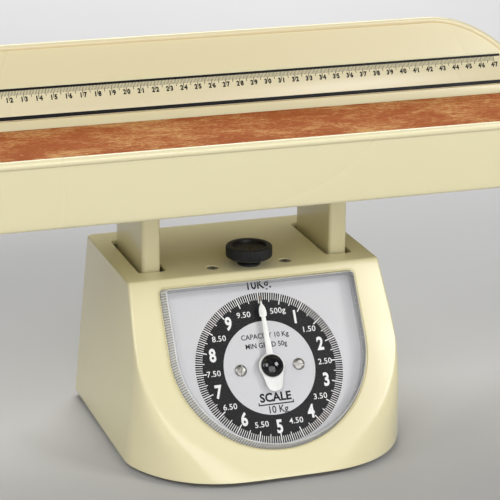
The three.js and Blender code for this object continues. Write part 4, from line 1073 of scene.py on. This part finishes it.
class SCALE_OT_cover(ScaleStep, bpy.types.Operator):
    """Builds the clear raised cover with its ribbed walls"""

    bl_idname = "scale.cover"
    bl_label = "Cover"

    ribs: number("Ribs", "Fine ribs round the wall", 250)
    rib_depth: length("Rib depth", "Depth of a rib", 0.3)

    def build(self, context):
        sizes = context.scene.dial_sizes
        proud = sizes.cover_proud / MM
        low = -sizes.recess / MM + 0.3
        count = self.ribs * 4
        depth = self.rib_depth / MM

        def outline(inset, ribbed):
            points = spaced(window_outline(inset, 96), count)
            moved = []
            for i, (x, y) in enumerate(points):
                ahead, behind = Vector(points[(i + 1) % count]), Vector(points[i - 1])
                along = (ahead - behind).normalized()
                push = depth * ribbed * (1, 0, -1, 0)[i % 4]
                moved.append((x + along.y * push, y - along.x * push))
            return moved

        def inset_at(z):
            return COVER_INSET + max(0, z) * COVER_DRAFT

        edge = COVER_EDGE
        outer = [(low, inset_at(0), 0), (-0.4, inset_at(0), 0), (0.3, inset_at(0.3), 0.1)]
        outer += [(z, inset_at(z), 1) for z in (0.8, 2.5, 4.2, proud - edge - 0.4)]
        outer += [(proud - edge + edge * math.sin(t),
                   inset_at(proud - edge) + edge * (1 - math.cos(t)), 0) for t in quarter(4)]
        outer += [(proud, inset_at(proud) + 3, 0)]
        roof = proud - COVER_WALL
        inner = [(z, inset_at(foot) + COVER_WALL + further, 0) for z, foot, further in (
            (roof, roof, 3), (roof, roof, 0.6), (roof - 0.6, roof, 0), (0.3, 0.3, 0), (low, 0, 0))]
        bm = bmesh.new()
        made = [add_loop(bm, at_height(outline(inset, ribbed), z)) for z, inset, ribbed in outer]
        inside = [add_loop(bm, at_height(outline(inset, ribbed), z)) for z, inset, ribbed in inner]
        place_of = {vert: i for verts, _ in made for i, vert in enumerate(verts)}
        for run in (made, inside):
            for (_, a), (_, b) in zip(run, run[1:]):
                bmesh.ops.bridge_loops(bm, edges=a + b)
        bmesh.ops.bridge_loops(bm, edges=inside[-1][1] + made[0][1])
        for verts in (made[-1][0], inside[0][0]):
            bm.faces.new(verts)
        bmesh.ops.recalc_face_normals(bm, faces=bm.faces)
        # Faces of the top wall above the crest and of the rounded top edge take the painted highlight;
        # the other rib faces alternate between painted highlight and painted shade, in place of light
        # refracted by the ribs.
        crest = max(vert.co.y for vert in bm.verts) - 3
        for face in bm.faces:
            centre = face.calc_center_median()
            flat = abs(face.normal.z) > 0.97
            face.material_index = 0 if flat and centre.z > 1 else 1
            if not flat and all(vert in place_of for vert in face.verts):
                first = min(place_of[vert] for vert in face.verts)
                takes_painted_highlight = centre.z > proud - edge * 0.6 or centre.y > crest
                face.material_index = 2 if takes_painted_highlight or first % 4 < 2 else 3
        finish_piece(new_object("dial_window_cover", bm, panel_matrix()), "base", "clear_cover",
                     ["dial_cover"], ["clear_face", "clear_wall", "clear_painted_highlight", "clear_painted_shade"], 40)


KNOB_FOOT = ((0, 0), (7.1, 0), (7.4, 0.3), (7.4, 1.0), (7.2, 1.35), (6.3, 1.9), (5.95, 2.4),
             (5.95, 3.5), (6.6, 4.05))  # radius, height from below
KNOB_HEAD = ((2.2, 4.5), (1.2, 4.85), (0.35, 5.5), (0, 6.1))  # in from the rim, height from below
KNOB_TOP = ((0, 1.1), (0.35, 0.45), (1.1, 0), (3.6, 0), (4.0, 0.2), (4.4, 1.9), (5.0, 2.3))
KNOB_SINK = ((0, 6), (1.6, 6), (1.6, 4.1), (3.3, 2.5), (3.5, 1), (0, 1))  # radius, from the top
KNOB_FACE = 2.3  # the middle lies this far below the rim


class SCALE_OT_knob(ScaleStep, bpy.types.Operator):
    """Builds the ribbed zero knob with the sink for its screw"""

    bl_idname = "scale.knob"
    bl_label = "Zero knob"

    ribs: number("Ribs", "Ribs round the rim", 60)
    rib_depth: length("Rib depth", "Depth of a rib", 0.45)

    def build(self, context):
        low, high = KNOB_LOW.z, KNOB_HIGH.z
        radius = (KNOB_HIGH.x - KNOB_LOW.x) / 2
        profile = [(r, low + z) for r, z in KNOB_FOOT]
        profile += [(radius - r, low + z) for r, z in KNOB_HEAD]
        profile += [(radius - r, high - z) for r, z in KNOB_TOP] + [(0, high - KNOB_FACE)]
        steps = self.ribs * 4
        bm = bmesh.new()
        turned(bm, profile, steps)
        depth = self.rib_depth / MM
        for vert in bm.verts:
            if math.hypot(vert.co.x, vert.co.y) > radius - 0.05:
                index = round(math.atan2(vert.co.y, vert.co.x) / math.tau * steps)
                if index % 4 == 0:
                    vert.co.xy *= (radius - depth) / radius
                elif index % 4 in (1, 3):
                    vert.co.xy *= (radius - depth * 0.2) / radius
        place = Matrix.Translation((0, KNOB_Y, 0))
        knob = new_object("zero_knob_ribbed", bm, place)
        bore = [(0, low - 1), (3.3, low - 1), (3.3, high - 5), (0, high - 5)]
        cut(knob, turned, bore, 32, place)
        cut(knob, turned, [(r, high - z) for r, z in KNOB_SINK], 32, place)
        finish_piece(knob, "knob", "knob_black", ["zero_knob"], angle=34)


PAN_HEAD = [(0, -6), (1.5, -6), (1.5, 0.02), (3.5, 0.02), (3.75, 0.25), (3.6, 0.7), (3.0, 1.1),
            (1.8, 1.28), (0, 1.3)]
PAN_SLOT = ((-4.2, -0.45, 0.6), (4.2, 0.45, 2))
CROSS_HALF = 0.42
SEATED = 0.3  # how far a screw head sits below or above its face


class SCALE_OT_screws(ScaleStep, bpy.types.Operator):
    """Builds the screw heads that show, with their driver recesses"""

    bl_idname = "scale.screws"
    bl_label = "Screws"

    def build(self, context):
        panel = panel_matrix()
        face = -context.scene.dial_sizes.recess / MM
        for side, name in ((-1, "left"), (1, "right")):
            turn = Matrix.Rotation(0.4 + side * 0.3, 4, "Z")
            self.flat_screw(f"top_screw_head_{name}", (2, 3.6, 1.8, 9), "base", "zinc_screw",
                            f"top_screw_{name}",
                            Matrix.Translation((side * TOP_SCREW_X, KNOB_Y, TOP_Z - SEATED)) @ turn)
            bm = bmesh.new()
            turned(bm, PAN_HEAD, 40)
            screw = new_object(f"dial_screw_head_{name}", bm)
            cut(screw, box, *PAN_SLOT, Matrix.Rotation(0.5 - side * 0.8, 4, "Z"))
            shift(screw, panel @ Matrix.Translation((side * DIAL_SCREW_X, 0, face + SEATED)))
            finish_piece(screw, "base", "zinc_screw", [f"dial_screw_{name}"])
        # the knob screw wears the darkened brass, painted shade for its recess
        place = Matrix.Translation((0, KNOB_Y, KNOB_HIGH.z - KNOB_FACE - 0.1))
        self.flat_screw("knob_screw_head", (1.3, 3, 1.5, 7), "knob", "brass", "knob_screw",
                        place @ Matrix.Rotation(0.9, 4, "Z"), "brass_painted_shade")

    def flat_screw(self, name, sizes, body, slot, node, place, look=None):
        """A countersunk screw with a cross recess, its top face on the place."""
        shank, head, height, length = sizes
        bm = bmesh.new()
        turned(bm, [(0, -length), (shank, -length), (shank, -height), (head, -0.15),
                    (head - 0.15, 0), (0, 0)], 40)
        screw = new_object(name, bm)
        reach, half, deep = head * 0.58, CROSS_HALF, -height * 0.6
        cut(screw, box, (-reach, -half, deep), (reach, half, 1))
        cut(screw, box, (-half, -reach, deep), (half, reach, 1))
        shift(screw, place)
        finish_piece(screw, body, slot, [node], [look or slot])


class SCALE_OT_feet(ScaleStep, bpy.types.Operator):
    """Builds the four rubber feet"""

    bl_idname = "scale.feet"
    bl_label = "Feet"

    def build(self, context):
        for place in ("front_left", "front_right", "rear_left", "rear_right"):
            low, high = box_mm(f"foot_{place}")
            radius, top = (high.x - low.x) / 2, high.z
            profile = [(0, 0.5), (radius - 3.4, 0.5), (radius - 3, 0), (radius - 1, 0),
                       (radius - 0.3, 0.3), (radius, 1), (radius - 0.8, top - 0.4),
                       (radius - 1.1, top), (0, top)]
            bm = bmesh.new()
            centre = (low + high) / 2
            turned(bm, profile, 48, Matrix.Translation((centre.x, centre.y, 0)))
            foot = new_object(f"rubber_foot_{place}", bm)
            finish_piece(foot, "base", "foot_rubber", [f"foot_{place}"])


class SCALE_OT_mechanism(ScaleStep, bpy.types.Operator):
    """Gives the CAD pieces that stay their finishes"""

    bl_idname = "scale.mechanism"
    bl_label = "Mechanism"

    def build(self, context):
        slots = {part["node"]: part["material_slot"] for part in frame["record"]["subparts"]}
        for name, node in frame["nodes"].items():
            if node.hide_render:
                continue
            node.data.materials.clear()
            node.data.materials.append(FINISHES[slots[name]])


LIGHTS = (  # name, place, aim, size in metres, watts
    ("key", (0.95, -1.15, 1.1), (0.0, -0.05, 0.12), 0.5, 9),
    ("fill", (-0.77, -1.15, 1.2), (0.0, -0.05, 0.12), 0.6, 8),
    ("front", (0.1, -2.2, 0.55), (0.0, -0.05, 0.15), 1.5, 24),
    ("left", (-1.65, -0.4, 0.95), (0.0, 0.0, 0.1), 0.9, 9),
    ("back", (0.5, 1.7, 1.7), (0.5, 1.7, 0.0), 1.8, 60),
)
WORLD_STRENGTH = 0.04
CAMERA_PLACE = (-0.4061, -1.2278, 0.5427)
CAMERA_TURN = -18.86  # to the right, in degrees
CAMERA_DOWN = 18.4
CAMERA_ROLL = 0.45
CAMERA_LENS = 151.9


class SCALE_OT_stage(ScaleStep, bpy.types.Operator):
    """Sets the floor, the soft studio lights and the camera"""

    bl_idname = "scale.stage"
    bl_label = "Stage"

    def build(self, context):
        scene = context.scene
        bm = bmesh.new()
        bmesh.ops.create_grid(bm, x_segments=2, y_segments=2, size=9000)
        floor = new_object("floor", bm)
        made = Nodes("floor_paper", Roughness=0.9, Specular_IOR_Level=0.1)
        made.colour(made.ramp(made.noise(3, 2), (0.3, 0.5), (0.7, 0.52)))
        floor.data.materials.append(made.material)
        for settings in LIGHTS:
            self.light(*settings)
        world = bpy.data.worlds.new("studio")
        world.use_nodes = True
        background = world.node_tree.nodes["Background"]
        background.inputs["Color"].default_value = (1, 1, 1, 1)
        background.inputs["Strength"].default_value = WORLD_STRENGTH
        scene.world = world
        scene.view_settings.view_transform = "Standard"
        lens = bpy.data.cameras.new("view")
        lens.lens = CAMERA_LENS
        lens.sensor_width = 36
        lens.clip_start, lens.clip_end = 0.05, 60
        camera = bpy.data.objects.new("view", lens)
        scene.collection.objects.link(camera)
        camera.location = CAMERA_PLACE
        camera.rotation_euler = (Matrix.Rotation(math.radians(CAMERA_TURN), 3, "Z")
                                 @ Matrix.Rotation(math.radians(90 - CAMERA_DOWN), 3, "X")
                                 @ Matrix.Rotation(math.radians(CAMERA_ROLL), 3, "Z")).to_euler()
        scene.camera = camera

    def light(self, name, place, target, size, power):
        lamp = bpy.data.lights.new(name, "AREA")
        lamp.shape = "SQUARE"
        lamp.size = size
        lamp.energy = power
        made = bpy.data.objects.new(name, lamp)
        bpy.context.scene.collection.objects.link(made)
        made.location = place
        made.rotation_euler = (Vector(target) - Vector(place)).to_track_quat("-Z", "Y").to_euler()


class SCALE_PT_panel(bpy.types.Panel):
    """Lists the scale's steps and settings"""

    bl_idname = "SCALE_PT_panel"
    bl_label = "Baby Scale"
    bl_space_type = "VIEW_3D"
    bl_region_type = "UI"
    bl_category = "Scale"

    def draw(self, context):
        column = self.layout.column()
        for step in STEPS:
            column.operator(step.bl_idname)
        for name in SETTINGS:
            group = getattr(context.scene, name)
            for key in group.bl_rna.properties.keys():
                if key not in ("rna_type", "name"):
                    column.prop(group, key)


SETTINGS = {
    "housing_sizes": HousingSizes,
    "dial_sizes": DialSizes,
    "tray_sizes": TraySizes,
    "finishes": Finishes,
}
STEPS = [
    SCALE_OT_stage, SCALE_OT_housing, SCALE_OT_posts, SCALE_OT_tray, SCALE_OT_mat, SCALE_OT_ruler,
    SCALE_OT_dial, SCALE_OT_cover, SCALE_OT_pointer, SCALE_OT_knob, SCALE_OT_screws,
    SCALE_OT_feet, SCALE_OT_mechanism,
]


def register():
    for kind in (*SETTINGS.values(), *STEPS, SCALE_PT_panel):
        bpy.utils.register_class(kind)
    for name, kind in SETTINGS.items():
        setattr(bpy.types.Scene, name, PointerProperty(type=kind))


def unregister():
    for name in SETTINGS:
        delattr(bpy.types.Scene, name)
    for kind in reversed((*SETTINGS.values(), *STEPS, SCALE_PT_panel)):
        bpy.utils.unregister_class(kind)


def main():
    register()
    make_finishes()
    for step in STEPS:
        group, name = step.bl_idname.split(".")
        getattr(getattr(bpy.ops, group), name)()


if __name__ == "__main__":
    main()
